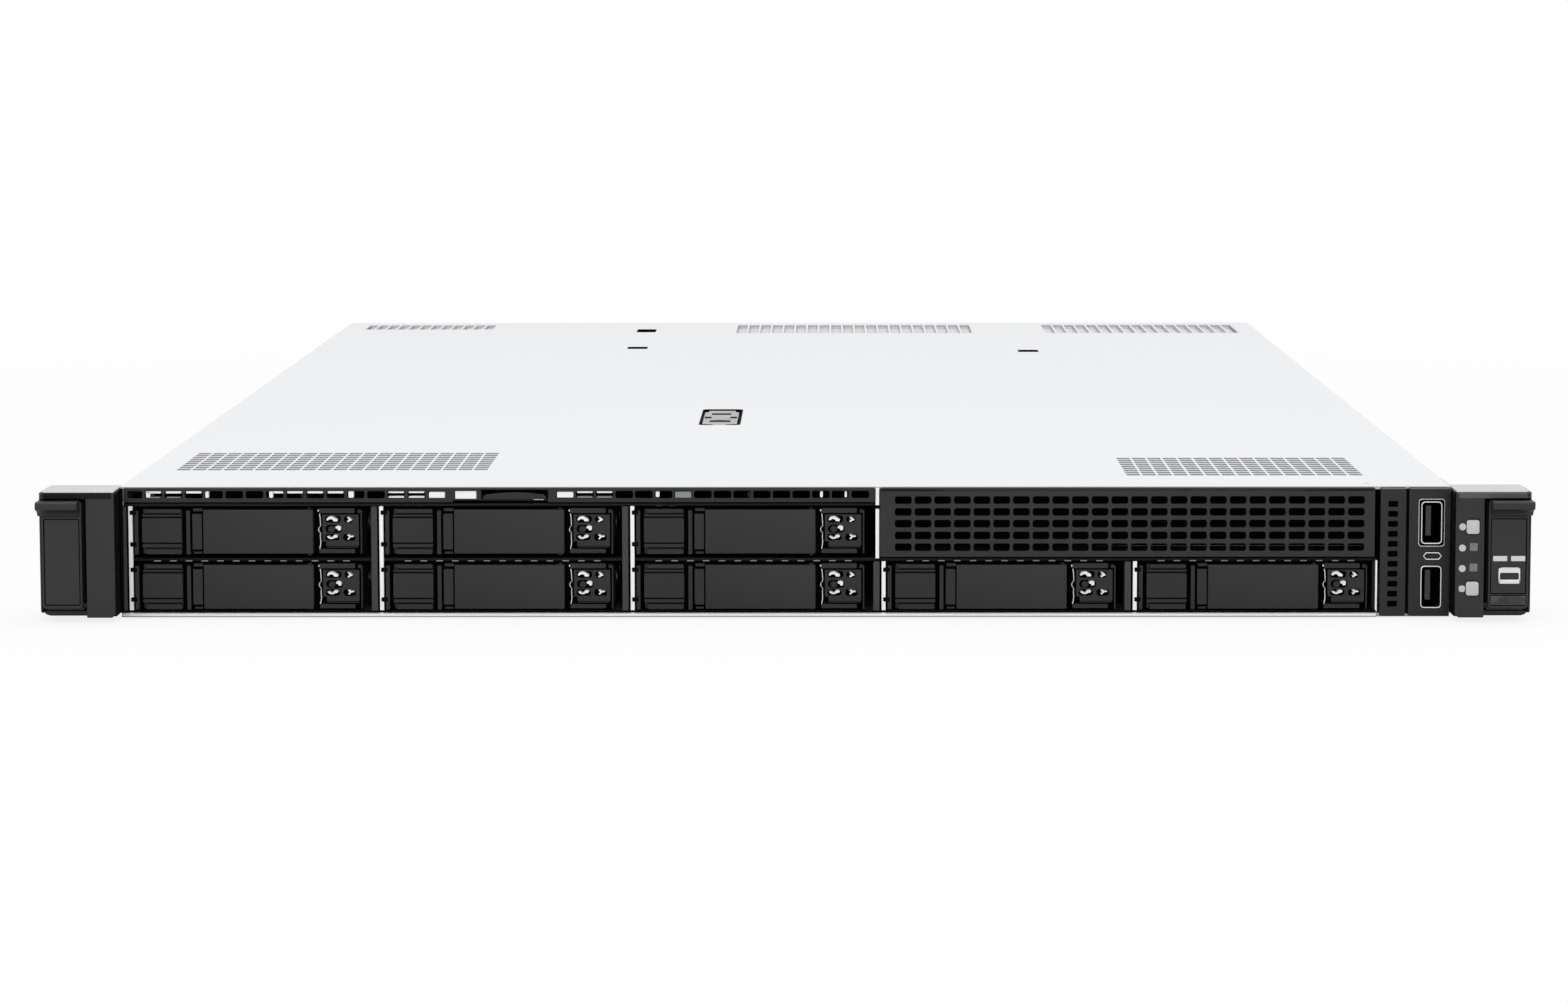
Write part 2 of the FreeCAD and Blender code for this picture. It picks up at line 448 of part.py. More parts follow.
def carrier(tag):
    left, right = "(carrier_left - column_start)", "(carrier_right - column_start)"
    plate_front = "(carrier_back_plate - bezel_lead)"
    plate_back = "(carrier_back_plate + carrier_plate - bezel_lead)"
    setback = "(face_setback - bezel_lead)"
    rail_end = "(carrier_length - bezel_lead)"
    low, high = "carrier_bottom", "carrier_top"
    stem = "(button_left + button_width/2 - column_start)"
    stem_height = "(button_bottom + button_height/2)"
    stem_room = "(button_stem/2 + button_play)"
    plate = box(f"plate{tag}", (left, plate_front, low), (right, plate_back, high))
    stem_hole = box(f"stem_hole{tag}",
                    (f"{stem} - {stem_room}", f"{plate_front} - 1", f"{stem_height} - {stem_room}"),
                    (f"{stem} + {stem_room}", f"{plate_back} + 1", f"{stem_height} + {stem_room}"))
    vents = []
    for index in range(int(size("air_windows"))):
        start = f"(lever_left - column_start + air_margin + {index}*air_pitch)"
        vents.append(box(f"air_{index}{tag}", (start, f"{plate_front} - 1", "lever_bottom + air_margin"),
                         (f"{start} + air_width", f"{plate_back} + 1",
                          "lever_bottom + lever_height - air_margin")))
    walls = [box(f"bar_left{tag}", (left, setback, low), (f"{left} + bar_width", plate_front, high)),
             box(f"bar_middle{tag}", ("middle_bar_left - column_start", setback, low),
                 ("middle_bar_right - column_start", plate_front, high)),
             box(f"bar_right{tag}", (f"{right} - cover_gauge", setback, low), (right, plate_front, high)),
             box(f"rail_left{tag}", (left, plate_back, low), (f"{left} + carrier_wall", rail_end, high)),
             box(f"rail_right{tag}", (f"{right} - carrier_wall", plate_back, low), (right, rail_end, high))]
    lugs = [box(f"lug_{index}{tag}", ("lever_pivot - lug_reach - column_start", setback, start),
                ("lever_pivot + lug_reach - column_start", plate_front, f"{start} + lug_height"))
            for index, start in enumerate((low, f"{high} - lug_height"))]
    bores = [cylinder(f"lug_bore_{index}{tag}", "lever_pin + lever_running", "2*lug_height",
                      ("lever_pivot - column_start", "lever_pivot_depth - bezel_lead", start), "z")
             for index, start in enumerate((f"{low} - lug_height/2", f"{high} - 1.5*lug_height"))]
    lamp_left, lamp_right = "(panel_left - column_start)", "(panel_right - column_start)"
    lamp_low, lamp_high = f"({low} + panel_margin)", f"({high} - panel_margin)"
    lamp_plate = box(f"lamp_plate{tag}", (lamp_left, face, lamp_low),
                     (lamp_right, f"{face} + panel_plate", lamp_high))
    stays = [box(f"stay_{index}{tag}", (start, f"{face} + panel_plate", lamp_low),
                 (f"{start} + cover_gauge", plate_front, lamp_high))
             for index, start in enumerate((lamp_left, f"{lamp_right} - cover_gauge"))]
    holes = []
    for index, (across, up, width, height) in enumerate(lamp_windows):
        start, bottom = f"{lamp_left} + {across}", f"{lamp_low} + {up}"
        holes.append(box(f"lamp_hole_{index}{tag}", (start, f"{face} - 1", bottom),
                         (f"{start} + {width}", f"{face} + panel_plate + 1", f"{bottom} + {height}")))
    frame = fuse(f"frame{tag}", [plate, lamp_plate] + walls + lugs + stays)
    return cut(f"carrier{tag}", frame, [stem_hole] + vents + bores + holes)


def bare_drive(tag):
    middle = "((carrier_left + carrier_right)/2 - column_start)"
    bottom = "(carrier_bottom + (carrier_top - carrier_bottom - drive_height)/2)"
    front, back = "drive_front - bezel_lead", "(drive_front + drive_length - bezel_lead)"
    case = box(f"drive_case{tag}", (f"{middle} - drive_width/2", front, bottom),
               (f"{middle} + drive_width/2", back, f"{bottom} + drive_height"))
    notch = box(f"drive_notch{tag}", (f"{middle} - drive_notch/2", f"{back} - drive_notch_depth", bottom),
                (f"{middle} + drive_notch/2", f"{back} + 1", f"{bottom} + drive_notch_height"))
    return cut(f"drive{tag}", case, [notch])


def release_button(tag):
    left, right = "(button_left - column_start)", "(button_left + button_width - column_start)"
    back = "(button_depth - bezel_lead)"
    stem, stem_height = "(button_left + button_width/2 - column_start)", "(button_bottom + button_height/2)"
    base = box(f"button_base{tag}", (left, "button_base - bezel_lead", "button_bottom"),
               (right, back, "button_bottom + button_height"))
    steps = [box(f"button_step_{index}{tag}", (left, f"{face} + {rise}", f"button_bottom + {low}"),
                 (right, "button_base - bezel_lead", f"button_bottom + {high}"))
             for index, (low, high, rise) in enumerate(button_steps)]
    rod = box(f"button_stem{tag}", (f"{stem} - button_stem/2", back, f"{stem_height} - button_stem/2"),
              (f"{stem} + button_stem/2", "carrier_back_plate + carrier_plate - stem_gap - bezel_lead",
               f"{stem_height} + button_stem/2"))
    return fuse(f"button{tag}", [base, rod] + steps)


def ejector_lever(tag):
    left, right = "(lever_left - column_start)", "(lever_right - column_start)"
    back = f"({face} + lever_depth)"
    middle = "(lever_bottom + lever_height/2)"
    plate = box(f"lever_plate{tag}", (left, face, "lever_bottom"),
                (right, back, "lever_bottom + lever_height"))
    hook = box(f"lever_hook{tag}", (f"{left} + hook_inset", back, f"{middle} - hook_gauge"),
               (f"{left} + hook_inset + bar_width", f"{back} + hook_gauge", f"{middle} + hook_gauge"))
    pin = cylinder(f"lever_pin{tag}", "lever_pin", "carrier_top - carrier_bottom - 2*sheet_play",
                   ("lever_pivot - column_start", "lever_pivot_depth - bezel_lead",
                    "carrier_bottom + sheet_play"), "z")
    return fuse(f"lever{tag}", [plate, hook, pin])


def drives():
    for number, (column, row) in enumerate(drive_bays, 1):
        tag = f"_{number}"
        assembly = group(f"drive_and_carrier{tag}", [carrier(tag), bare_drive(tag)])
        for item, node in ((assembly, "drive_carrier"), (ejector_lever(tag), "ejector_lever"),
                           (release_button(tag), "release_button")):
            shift(item, f"{column}*column_pitch", f"{row}*row_pitch")
            keep(item, node + tag)


# ---- front face ----

def vent_strip():
    body = doc.addObject("PartDesign::Body", "strip")
    left = f"(sheet_play + tray_gauge - {half})"
    outline = rectangles(body, "strip_outline", "XZ_Plane", "bezel_lead - bezel_gauge",
                         [(left, "strip_low", "strip_end", "bezel_top")])
    pad(body, "strip_plate", outline, "bezel_gauge")
    guide_end = "tab_length + tab_play - bezel_lead"
    shelf = rectangles(body, "strip_shelf_outline", "XY_Plane", "cage_top_high",
                       [(left, face, "strip_end", f"{face} + strip_shelf"),
                        ("-tab_left - tab_guide", face, "tab_guide - tab_right", guide_end)])
    pad(body, "strip_shelf", shelf, "strip_low + strip_floor - cage_top_high")
    guides = rectangles(body, "guide_outlines", "XY_Plane", "strip_low",
                        [("-tab_left - tab_guide", bezel_back, "-tab_left", guide_end),
                         ("-tab_right", bezel_back, "tab_guide - tab_right", guide_end)])
    pad(body, "tab_guides", guides, f"{roof} - strip_low - tab_play")
    mouth = rectangles(body, "mouth_outlines", "XZ_Plane", "bezel_lead - bezel_gauge",
                       [("-tab_left", "strip_low + strip_floor", "-tab_right", "tab_high + tab_play"),
                        ("-window_left", "slot_low", "-window_right", "slot_low + slot_height")])
    mouth_cut = pocket(body, "tab_mouth", mouth, "bezel_gauge")
    mouth_cut.Reversed = True
    for side in ("left", "right"):
        outline = rectangles(body, side + "_slot", "XZ_Plane", "bezel_lead - bezel_gauge",
                             [(f"-{side}_slots_start", "slot_low",
                               f"slot_width - {side}_slots_start", "slot_low + slot_height")])
        slot = pocket(body, side + "_slots", outline, "bezel_gauge")
        slot.Reversed = True
        doc.recompute()
        repeat(body, slot, outline, "slot_pitch", "slots")
    return keep(body, "vent_strip")


def information_tab():
    front = f"({face} + tab_play)"
    plate = box("tab_plate_blank", ("tab_play - tab_left", front, "tab_low"),
                ("-tab_right - tab_play", "tab_length - bezel_lead", "tab_low + tab_gauge"))
    lip = box("tab_lip", ("tab_lip_inset - tab_left", front, "tab_low"),
              ("-tab_right - tab_lip_inset", f"{front} + tab_gauge", "tab_high"))
    keep(fuse("tab", [plate, lip]), "information_tab")


def media_bay_blank():
    body = doc.addObject("PartDesign::Body", "blank")
    outline = rectangles(body, "blank_outline", "XZ_Plane", "bezel_lead - bezel_gauge",
                         [("blank_left", "blank_low", "blank_right", "bezel_top")])
    pad(body, "blank_plate", outline, "bezel_gauge")
    edge = "(blank_depth - bezel_lead)"
    flanges = rectangles(body, "blank_side_outlines", "XY_Plane", "blank_low",
                         [("blank_left", face, "blank_left + cover_gauge", edge),
                          ("blank_right - cover_gauge", face, "blank_right", edge)])
    pad(body, "blank_sides", flanges, "strip_low - blank_low")
    bottom = rectangles(body, "blank_bottom_outline", "XY_Plane", "blank_low",
                        [("blank_left", face, "blank_right", edge)])
    pad(body, "blank_bottom", bottom, "cover_gauge")
    hole_outline = rectangles(body, "grille_outline", "XZ_Plane", "bezel_lead - bezel_gauge",
                              [("grille_left", "grille_low", "grille_left + grille_hole",
                                "grille_low + grille_hole_height")])
    hole = pocket(body, "grille_hole", hole_outline, "bezel_gauge")
    hole.Reversed = True
    doc.recompute()
    repeat(body, hole, hole_outline, "grille_pitch", "grille_columns", "grille_row_pitch", "grille_rows")
    return keep(body, "media_bay_blank")


def port_places():
    for name, low in (("usb_upper", "usb_high"), ("usb_lower", "usb_low")):
        yield name, ("usb_left", low, "usb_left + usb_width", f"{low} + usb_height")


def port_bezel():
    body = doc.addObject("PartDesign::Body", "ports")
    outline = rectangles(body, "port_outline", "XZ_Plane", "bezel_lead - bezel_gauge",
                         [("port_left", "port_low", "port_right", "bezel_top")])
    pad(body, "port_plate", outline, "bezel_gauge")
    housing = rectangles(body, "port_housing_outline", "XZ_Plane", "bezel_lead - port_depth",
                         [("groove_right + port_margin", "tray_gauge", f"{half} - tray_gauge - sheet_play",
                           "port_housing_top")])
    pad(body, "port_housing", housing, "port_depth - bezel_gauge")
    vent = rectangles(body, "side_vent_outline", "XZ_Plane", "bezel_lead - bezel_gauge",
                      [("side_vent_left", "side_vent_low", "side_vent_left + side_vent_width",
                        "side_vent_low + side_vent_height")])
    vent_cut = pocket(body, "side_vent", vent, "bezel_gauge")
    vent_cut.Reversed = True
    doc.recompute()
    repeat(body, vent_cut, vent, "side_vent_pitch", "side_vents", first="V_Axis")
    doc.recompute()
    openings = [outline for _, outline in port_places()]
    openings.append(("service_left", "service_low", "service_left + service_width",
                     "service_low + service_height"))
    sockets = rectangles(body, "port_openings", "XZ_Plane", "bezel_lead", openings)
    pocket(body, "port_sockets", sockets, "usb_depth + port_margin")
    groove = rectangles(body, "groove_outline", "XZ_Plane", "bezel_lead",
                        [("groove_left", "port_low + port_margin", "groove_right",
                          "bezel_top - port_margin")])
    pocket(body, "groove", groove, "groove_depth")
    return keep(body, "port_bezel")


def jack_places():
    for index in range(int(size("jack_count"))):
        yield f"jack_{index}", f"(jack_start + {index}*jack_pitch)"


# A sheet-metal shell open at the front, given by its corners on the face and its depth.
def shell(name, outline, front, back, wall):
    left, low, right, high = outline
    outer = box(name + "_outer", (left, front, low), (right, back, high))
    hollow = box(name + "_hollow", (f"{left} + {wall}", f"{front} - 1", f"{low} + {wall}"),
                 (f"{right} - {wall}", f"{back} - port_back", f"{high} - {wall}"))
    return cut(name + "_shell", outer, [hollow])


def port_shells():
    shells = []
    back = "(usb_depth - bezel_lead)"
    middle = "(usb_left + usb_width/2)"
    for name, outline in port_places():
        low, high = outline[1], outline[3]
        tongue = box(name + "_tongue", (f"{middle} - usb_tongue/2", "tongue_setback - bezel_lead",
                                        f"{low} + 2*usb_wall"),
                     (f"{middle} + usb_tongue/2", f"{back} - port_back", f"{high} - 2*usb_wall"))
        shells.append(fuse(name, [shell(name, outline, f"{face} - usb_proud", back, "usb_wall"), tongue]))
    service = ("service_left", "service_low", "service_left + service_width", "service_low + service_height")
    shells.append(shell("service_port", service, f"{face} - usb_proud/2", "usb_depth/2 - bezel_lead",
                        "service_wall"))
    board_top = "board_low + board_gauge"
    for name, left in jack_places():
        outer = box(name + "_outer", (left, f"{rear} - jack_depth", board_top),
                    (f"{left} + jack_width", rear, "jack_low + jack_height"))
        hollow = box(name + "_hollow", (f"{left} + jack_wall", f"{rear} - jack_mouth",
                                        "jack_low + jack_wall"),
                     (f"{left} + jack_width - jack_wall", f"{rear} + 1",
                      "jack_low + jack_height - jack_wall"))
        shells.append(cut(name, outer, [hollow]))
    display = box("display_outer", ("display_left", f"{rear} - display_depth", board_top),
                  ("display_left + display_width", rear, "jack_low + display_height"))
    nose = box("display_nose", ("display_left + display_side", rear, "jack_low + display_edge"),
               ("display_left + display_width - display_side", f"{rear} + display_reach",
                "jack_low + display_height - display_edge"))
    shells.append(fuse("display_port", [display, nose]))
    keep(group("shells", shells), "port_shells")


# ---- rack ears ----

# A box on the left or the right ear, given by its distances from the centre line.
def side_box(name, side, near, far, front_edge, back_edge, low, high):
    start, end = (near, far) if side == "right" else (f"-({far})", f"-({near})")
    return box(f"{side}_{name}", (start, front_edge, low), (end, back_edge, high))


def side_rod(name, side, radius, near, length):
    start = near if side == "right" else f"-({near}) - ({length})"
    return cylinder(f"{side}_{name}", radius, length, (start, "-ear_pivot_along", "ear_pivot_height"), "x")


def ear(side, sockets):
    inner = side_box("inner", side, "ear_inner", "ear_split", "-ear_front", "0", "ear_low", "ear_high")
    flange = side_box("flange", side, "ear_split", "ear_outer", "-ear_flange", "0", "ear_low", "ear_high")
    top = side_box("top", side, "ear_split", "ear_outer", "-ear_front", "-ear_flange",
                   "ear_high - ear_shelf", "ear_high")
    bottom = side_box("bottom", side, "ear_split", "ear_outer", "-ear_floor_front", "-ear_flange",
                      "ear_low", "ear_low + ear_shelf")
    strap = side_box("strap", side, half, f"{half} + ear_strap", "-ear_front", "ear_strap_back",
                     "ear_low + ear_shelf", "ear_high - ear_shelf")
    hole_near = "(rack_hole_spacing/2)"
    hole = cylinder(f"{side}_rack_hole", "rack_hole", "2*ear_flange",
                    (hole_near if side == "right" else f"-{hole_near}", "-1.5*ear_flange",
                     "rack_hole_height"), "y")
    window_half = "(hook_width/2 + hook_room)"
    window = side_box("window", side, f"{hole_near} - {window_half}", f"{hole_near} + {window_half}",
                      "-2*ear_flange", "ear_flange", "hook_low - hook_room", "hook_high + hook_swing")
    pivot = side_rod("pivot_bore", side, "ear_pin + ear_running", "ear_split - pivot_bore_depth",
                     "2*pivot_bore_depth")
    solid = fuse(f"{side}_ear_solid", [inner, flange, top, bottom, strap])
    return cut(f"{side}_ear_cut", solid, [hole, window, pivot] + sockets)


def ear_latch(side):
    near, far = "(ear_split + lip_side)", "ear_outer"
    lip_near = f"({near} + lip_inset)"
    front_edge = "(-latch_plate_front)"
    back_edge = "(latch_plate_gauge - latch_plate_front)"
    plate = side_box("plate", side, near, far, front_edge, back_edge, "latch_plate_low", "latch_plate_high")
    lip = side_box("lip", side, lip_near, f"{far} + lip_side", f"{front_edge} - lip_reach", front_edge,
                   "lip_low", "latch_plate_high")
    sweep = doc.addObject("Part::Wedge", f"{side}_sweep")
    width = f"{far} - {lip_near}"
    for path, formula in (("Xmin", "0"), ("Xmax", "lip_reach"), ("Ymin", "0"), ("Ymax", "sweep_height"),
                          ("Zmin", "0"), ("Zmax", width), ("X2min", "0"), ("X2max", "sweep_edge"),
                          ("Z2min", "0"), ("Z2max", width)):
        bind(sweep, path, formula)
    sweep_end = lip_near if side == "right" else f"-({far})"
    turn = FreeCAD.Rotation(FreeCAD.Matrix(0, 0, 1, 0, -1, 0, 0, 0, 0, -1, 0, 0))
    sweep.Placement.Rotation = turn
    for letter, place in zip("xyz", (sweep_end, front_edge, "lip_low")):
        bind(sweep, "Placement.Base." + letter, place)
    knuckle = side_box("knuckle", side, near, f"{far} - knuckle_inset", "-ear_pivot_along - knuckle",
                       "knuckle - ear_pivot_along", "ear_pivot_height - knuckle",
                       "ear_pivot_height + knuckle")
    hook_near = "(rack_hole_spacing/2 - hook_width/2)"
    hook = side_box("hook", side, hook_near, f"{hook_near} + hook_width", back_edge, "-hook_stop",
                    "hook_low", "hook_high")
    pin = side_rod("pin", side, "ear_pin", "ear_split - ear_pin_depth", "3*ear_pin_depth")
    keep(fuse(f"{side}_latch", [plate, lip, sweep, knuckle, hook, pin]), f"{side}_ear_latch")


def key(name, low, node):
    item = box(name, ("key_left", "-ear_front - key_proud", low),
               ("key_left + key_width", "key_length - ear_front - key_proud", f"{low} + key_height"))
    pocket_box = box(name + "_pocket", ("key_left - key_play", "-ear_front - 1", f"{low} - key_play"),
                     ("key_left + key_width + key_play", "key_length + key_travel - key_proud - ear_front",
                      f"{low} + key_height + key_play"))
    keep(item, node)
    return pocket_box


def ears():
    sockets = [key("power_key", "power_low", "power_button"), key("id_key", "id_low", "id_button")]
    lenses = []
    spots = [("lamp_left", low, "lamp_size") for low in ("lamp_high", "lamp_low")]
    spots += [("dot_left", low, "dot_size") for low in ("dot_power", "dot_high", "dot_low", "dot_id")]
    for index, (left, low, side_length) in enumerate(spots):
        start = (left, "-ear_front - lens_proud", low)
        end = (f"{left} + {side_length}", "lens_length - ear_front", f"{low} + {side_length}")
        lenses.append(box(f"lens_{index}", start, end))
        sockets.append(box(f"lens_hole_{index}", start, end))
    keep(group("lenses", lenses), "status_lenses")
    keep(ear("left", []), "left_ear")
    keep(ear("right", sockets), "right_ear")
    for side in ("left", "right"):
        ear_latch(side)


# ---- cooling ----

def fan_middle(index):
    return f"(({index} - (fan_count - 1)/2)*fan_pitch)"


def fans():
    count = int(size("fan_count"))
    height = "((fan_low + fan_high)/2)"
    back = "(fan_front + fan_length)"
    strut_reach = "(fan_bore + strut_root)"
    housings = []
    for index in range(count):
        tag = f"_{index + 1}"
        middle = fan_middle(index)
        block = box("fan_block" + tag, (f"{middle} - fan_width/2", "fan_front", "fan_low"),
                    (f"{middle} + fan_width/2", back, "fan_high"))
        bore = cylinder("fan_bore" + tag, "fan_bore", "fan_length + 2", (middle, "fan_front - 1", height),
                        "y")
        ring = cut("fan_ring" + tag, block, [bore])
        bars = [box("strut_upright" + tag, (f"{middle} - strut/2", f"{back} - mount_gauge",
                                            f"{height} - {strut_reach}"),
                    (f"{middle} + strut/2", back, f"{height} + {strut_reach}")),
                box("strut_level" + tag, (f"{middle} - {strut_reach}", f"{back} - mount_gauge",
                                          f"{height} - strut/2"),
                    (f"{middle} + {strut_reach}", back, f"{height} + strut/2")),
                cylinder("motor_mount" + tag, "fan_hub", "mount_gauge",
                         (middle, f"{back} - mount_gauge", height), "y")]
        shaft_bore = cylinder("shaft_bore" + tag, "shaft + shaft_running", "2*mount_gauge",
                              (middle, f"{back} - 1.5*mount_gauge", height), "y")
        housings.append(cut("fan_housing" + tag, fuse("fan_frame" + tag, [ring] + bars), [shaft_bore]))
    keep(group("housings", housings), "fan_housings")
    for index in range(count):
        tag = f"_{index + 1}"
        rotor = fan_rotor(tag)
        for letter, place in zip("xyz", (fan_middle(index), "rotor_front", height)):
            bind(rotor, "Placement.Base." + letter, place)
        keep(rotor, "fan_rotor" + tag)


def fan_rotor(tag):
    blades = []
    for index in range(int(size("blade_count"))):
        blade = doc.addObject("Part::Box", f"blade_{index}{tag}")
        bind(blade, "Length", "blade_gauge")
        bind(blade, "Width", "blade_length")
        bind(blade, "Height", "fan_bore")
        around = FreeCAD.Rotation(FreeCAD.Vector(0, 1, 0), index * 360 / size("blade_count"))
        twist = FreeCAD.Rotation(FreeCAD.Vector(0, 0, 1), size("blade_angle"))
        middle = twist.multVec(FreeCAD.Vector(size("blade_gauge"), size("blade_length"), 0)) * 0.5
        root = FreeCAD.Vector(-middle.x, size("rotor_length") / 2 - middle.y, 0)
        blade.Placement = FreeCAD.Placement(around.multVec(root), around * twist)
        blades.append(blade)
    hub = cylinder("hub" + tag, "fan_hub", "rotor_length", ("0", "0", "0"), "y")
    reach = cylinder("blade_reach" + tag, "fan_tip", "rotor_length", ("0", "0", "0"), "y")
    trimmed = doc.addObject("Part::Common", "blades_trimmed" + tag)
    trimmed.Base = fuse("blades" + tag, blades)
    trimmed.Tool = reach
    shaft = cylinder("rotor_shaft" + tag, "shaft", "fan_front + fan_length - rotor_front - shaft_end",
                     ("0", "0", "0"), "y")
    return fuse("rotor" + tag, [hub, shaft, trimmed])


# ---- board, processors and memory ----

def bank_places():
    for sign in ("-", ""):
        for bank in ("inner_bank", "outer_bank"):
            for index in range(int(size("modules_per_bank"))):
                yield f"({sign}({bank} + {index}*module_pitch))"


def system_board():
    top = "(board_low + board_gauge)"
    socket_front, socket_back = "module_front - socket_end", "module_front + module_length + socket_end"
    pieces = [box("board_main", ("-board_side", "board_front", "board_low"),
                  ("board_side", "board_step", top)),
              box("board_rear", ("-board_notch", "board_step", "board_low"),
                  ("board_side", "board_back", top))]
    for index, place in enumerate(bank_places()):
        pieces.append(box(f"memory_socket_{index}", (f"{place} - socket_width/2", socket_front, top),
                          (f"{place} + socket_width/2", socket_back, "module_low")))
    for index, sign in enumerate(("-", "")):
        middle = f"({sign}cpu_across)"
        pieces.append(box(f"processor_{index}", (f"{middle} - cpu_width/2", "cpu_front + cpu_inset", top),
                          (f"{middle} + cpu_width/2", "cpu_front + sink_length - cpu_inset", "sink_low")))
    keep(fuse("board", pieces), "system_board")


def heatsinks():
    sinks = []
    for index, sign in enumerate(("-", "")):
        left = f"({sign}cpu_across - sink_width/2)"
        pieces = [box(f"sink_base_{index}", (left, "cpu_front", "sink_low"),
                      (f"{left} + sink_width", "cpu_front + sink_length", "sink_low + sink_base"))]
        for fin in range(int(size("fins"))):
            start = f"({left} + {fin}*fin_pitch)"
            pieces.append(box(f"fin_{index}_{fin}", (start, "cpu_front", "sink_low + sink_base"),
                              (f"{start} + fin_gauge", "cpu_front + sink_length", "sink_high")))
        sinks.append(fuse(f"sink_{index}", pieces))
    keep(group("sinks", sinks), "heatsinks")


def memory_modules():
    modules = [box(f"module_{index}", (f"{place} - module_gauge/2", "module_front", "module_low"),
                   (f"{place} + module_gauge/2", "module_front + module_length",
                    "module_low + module_height"))
               for index, place in enumerate(bank_places())]
    keep(group("modules", modules), "memory_modules")


# A folded cage over the rear of the board, with a vented blank in the card opening, and its riser card.
def riser_cage():
    front, back = "riser_front", f"({rear} - tray_gauge)"
    board_top = "(board_low + board_gauge)"
    wall_back = f"{back} - riser_wall_gap"
    roof_plate = box("riser_roof", ("riser_left", front, "riser_high - riser_gauge"),
                     ("riser_right", back, "riser_high"))
    wall = box("riser_wall", ("riser_left", front, board_top),
               ("riser_left + riser_gauge", wall_back, "riser_high"))
    ledge = box("riser_ledge", ("riser_right - riser_gauge", front, board_top),
                ("riser_right", wall_back, "riser_high"))
    blank = box("slot_blank", ("riser_left + blank_inset", f"{back} - riser_gauge",
                               "slot_window_low - bay_play"),
                ("riser_right - blank_inset", back, "riser_high"))
    vents = []
    for index in range(int(size("blank_vents"))):
        start = f"(riser_left + blank_vent_start + {index}*blank_vent_pitch)"
        vents.append(box(f"blank_vent_{index}",
                         (start, f"{back} - 2*riser_gauge", "slot_window_low + blank_inset"),
                         (f"{start} + blank_vent_width", f"{back} + riser_gauge",
                          "slot_window_high - blank_inset")))
    cage = cut("riser", fuse("riser_solid", [roof_plate, wall, ledge, blank]), vents)
    middle = "((riser_left + riser_right)/2)"
    card = box("riser_card", (f"{middle} - riser_card_gauge/2", f"{front} + riser_card_inset", board_top),
               (f"{middle} + riser_card_gauge/2", f"{back} - riser_card_gap", "riser_high - riser_gauge"))
    keep(group("riser_and_card", [cage, card]), "riser_cage")


# ---- power supplies ----

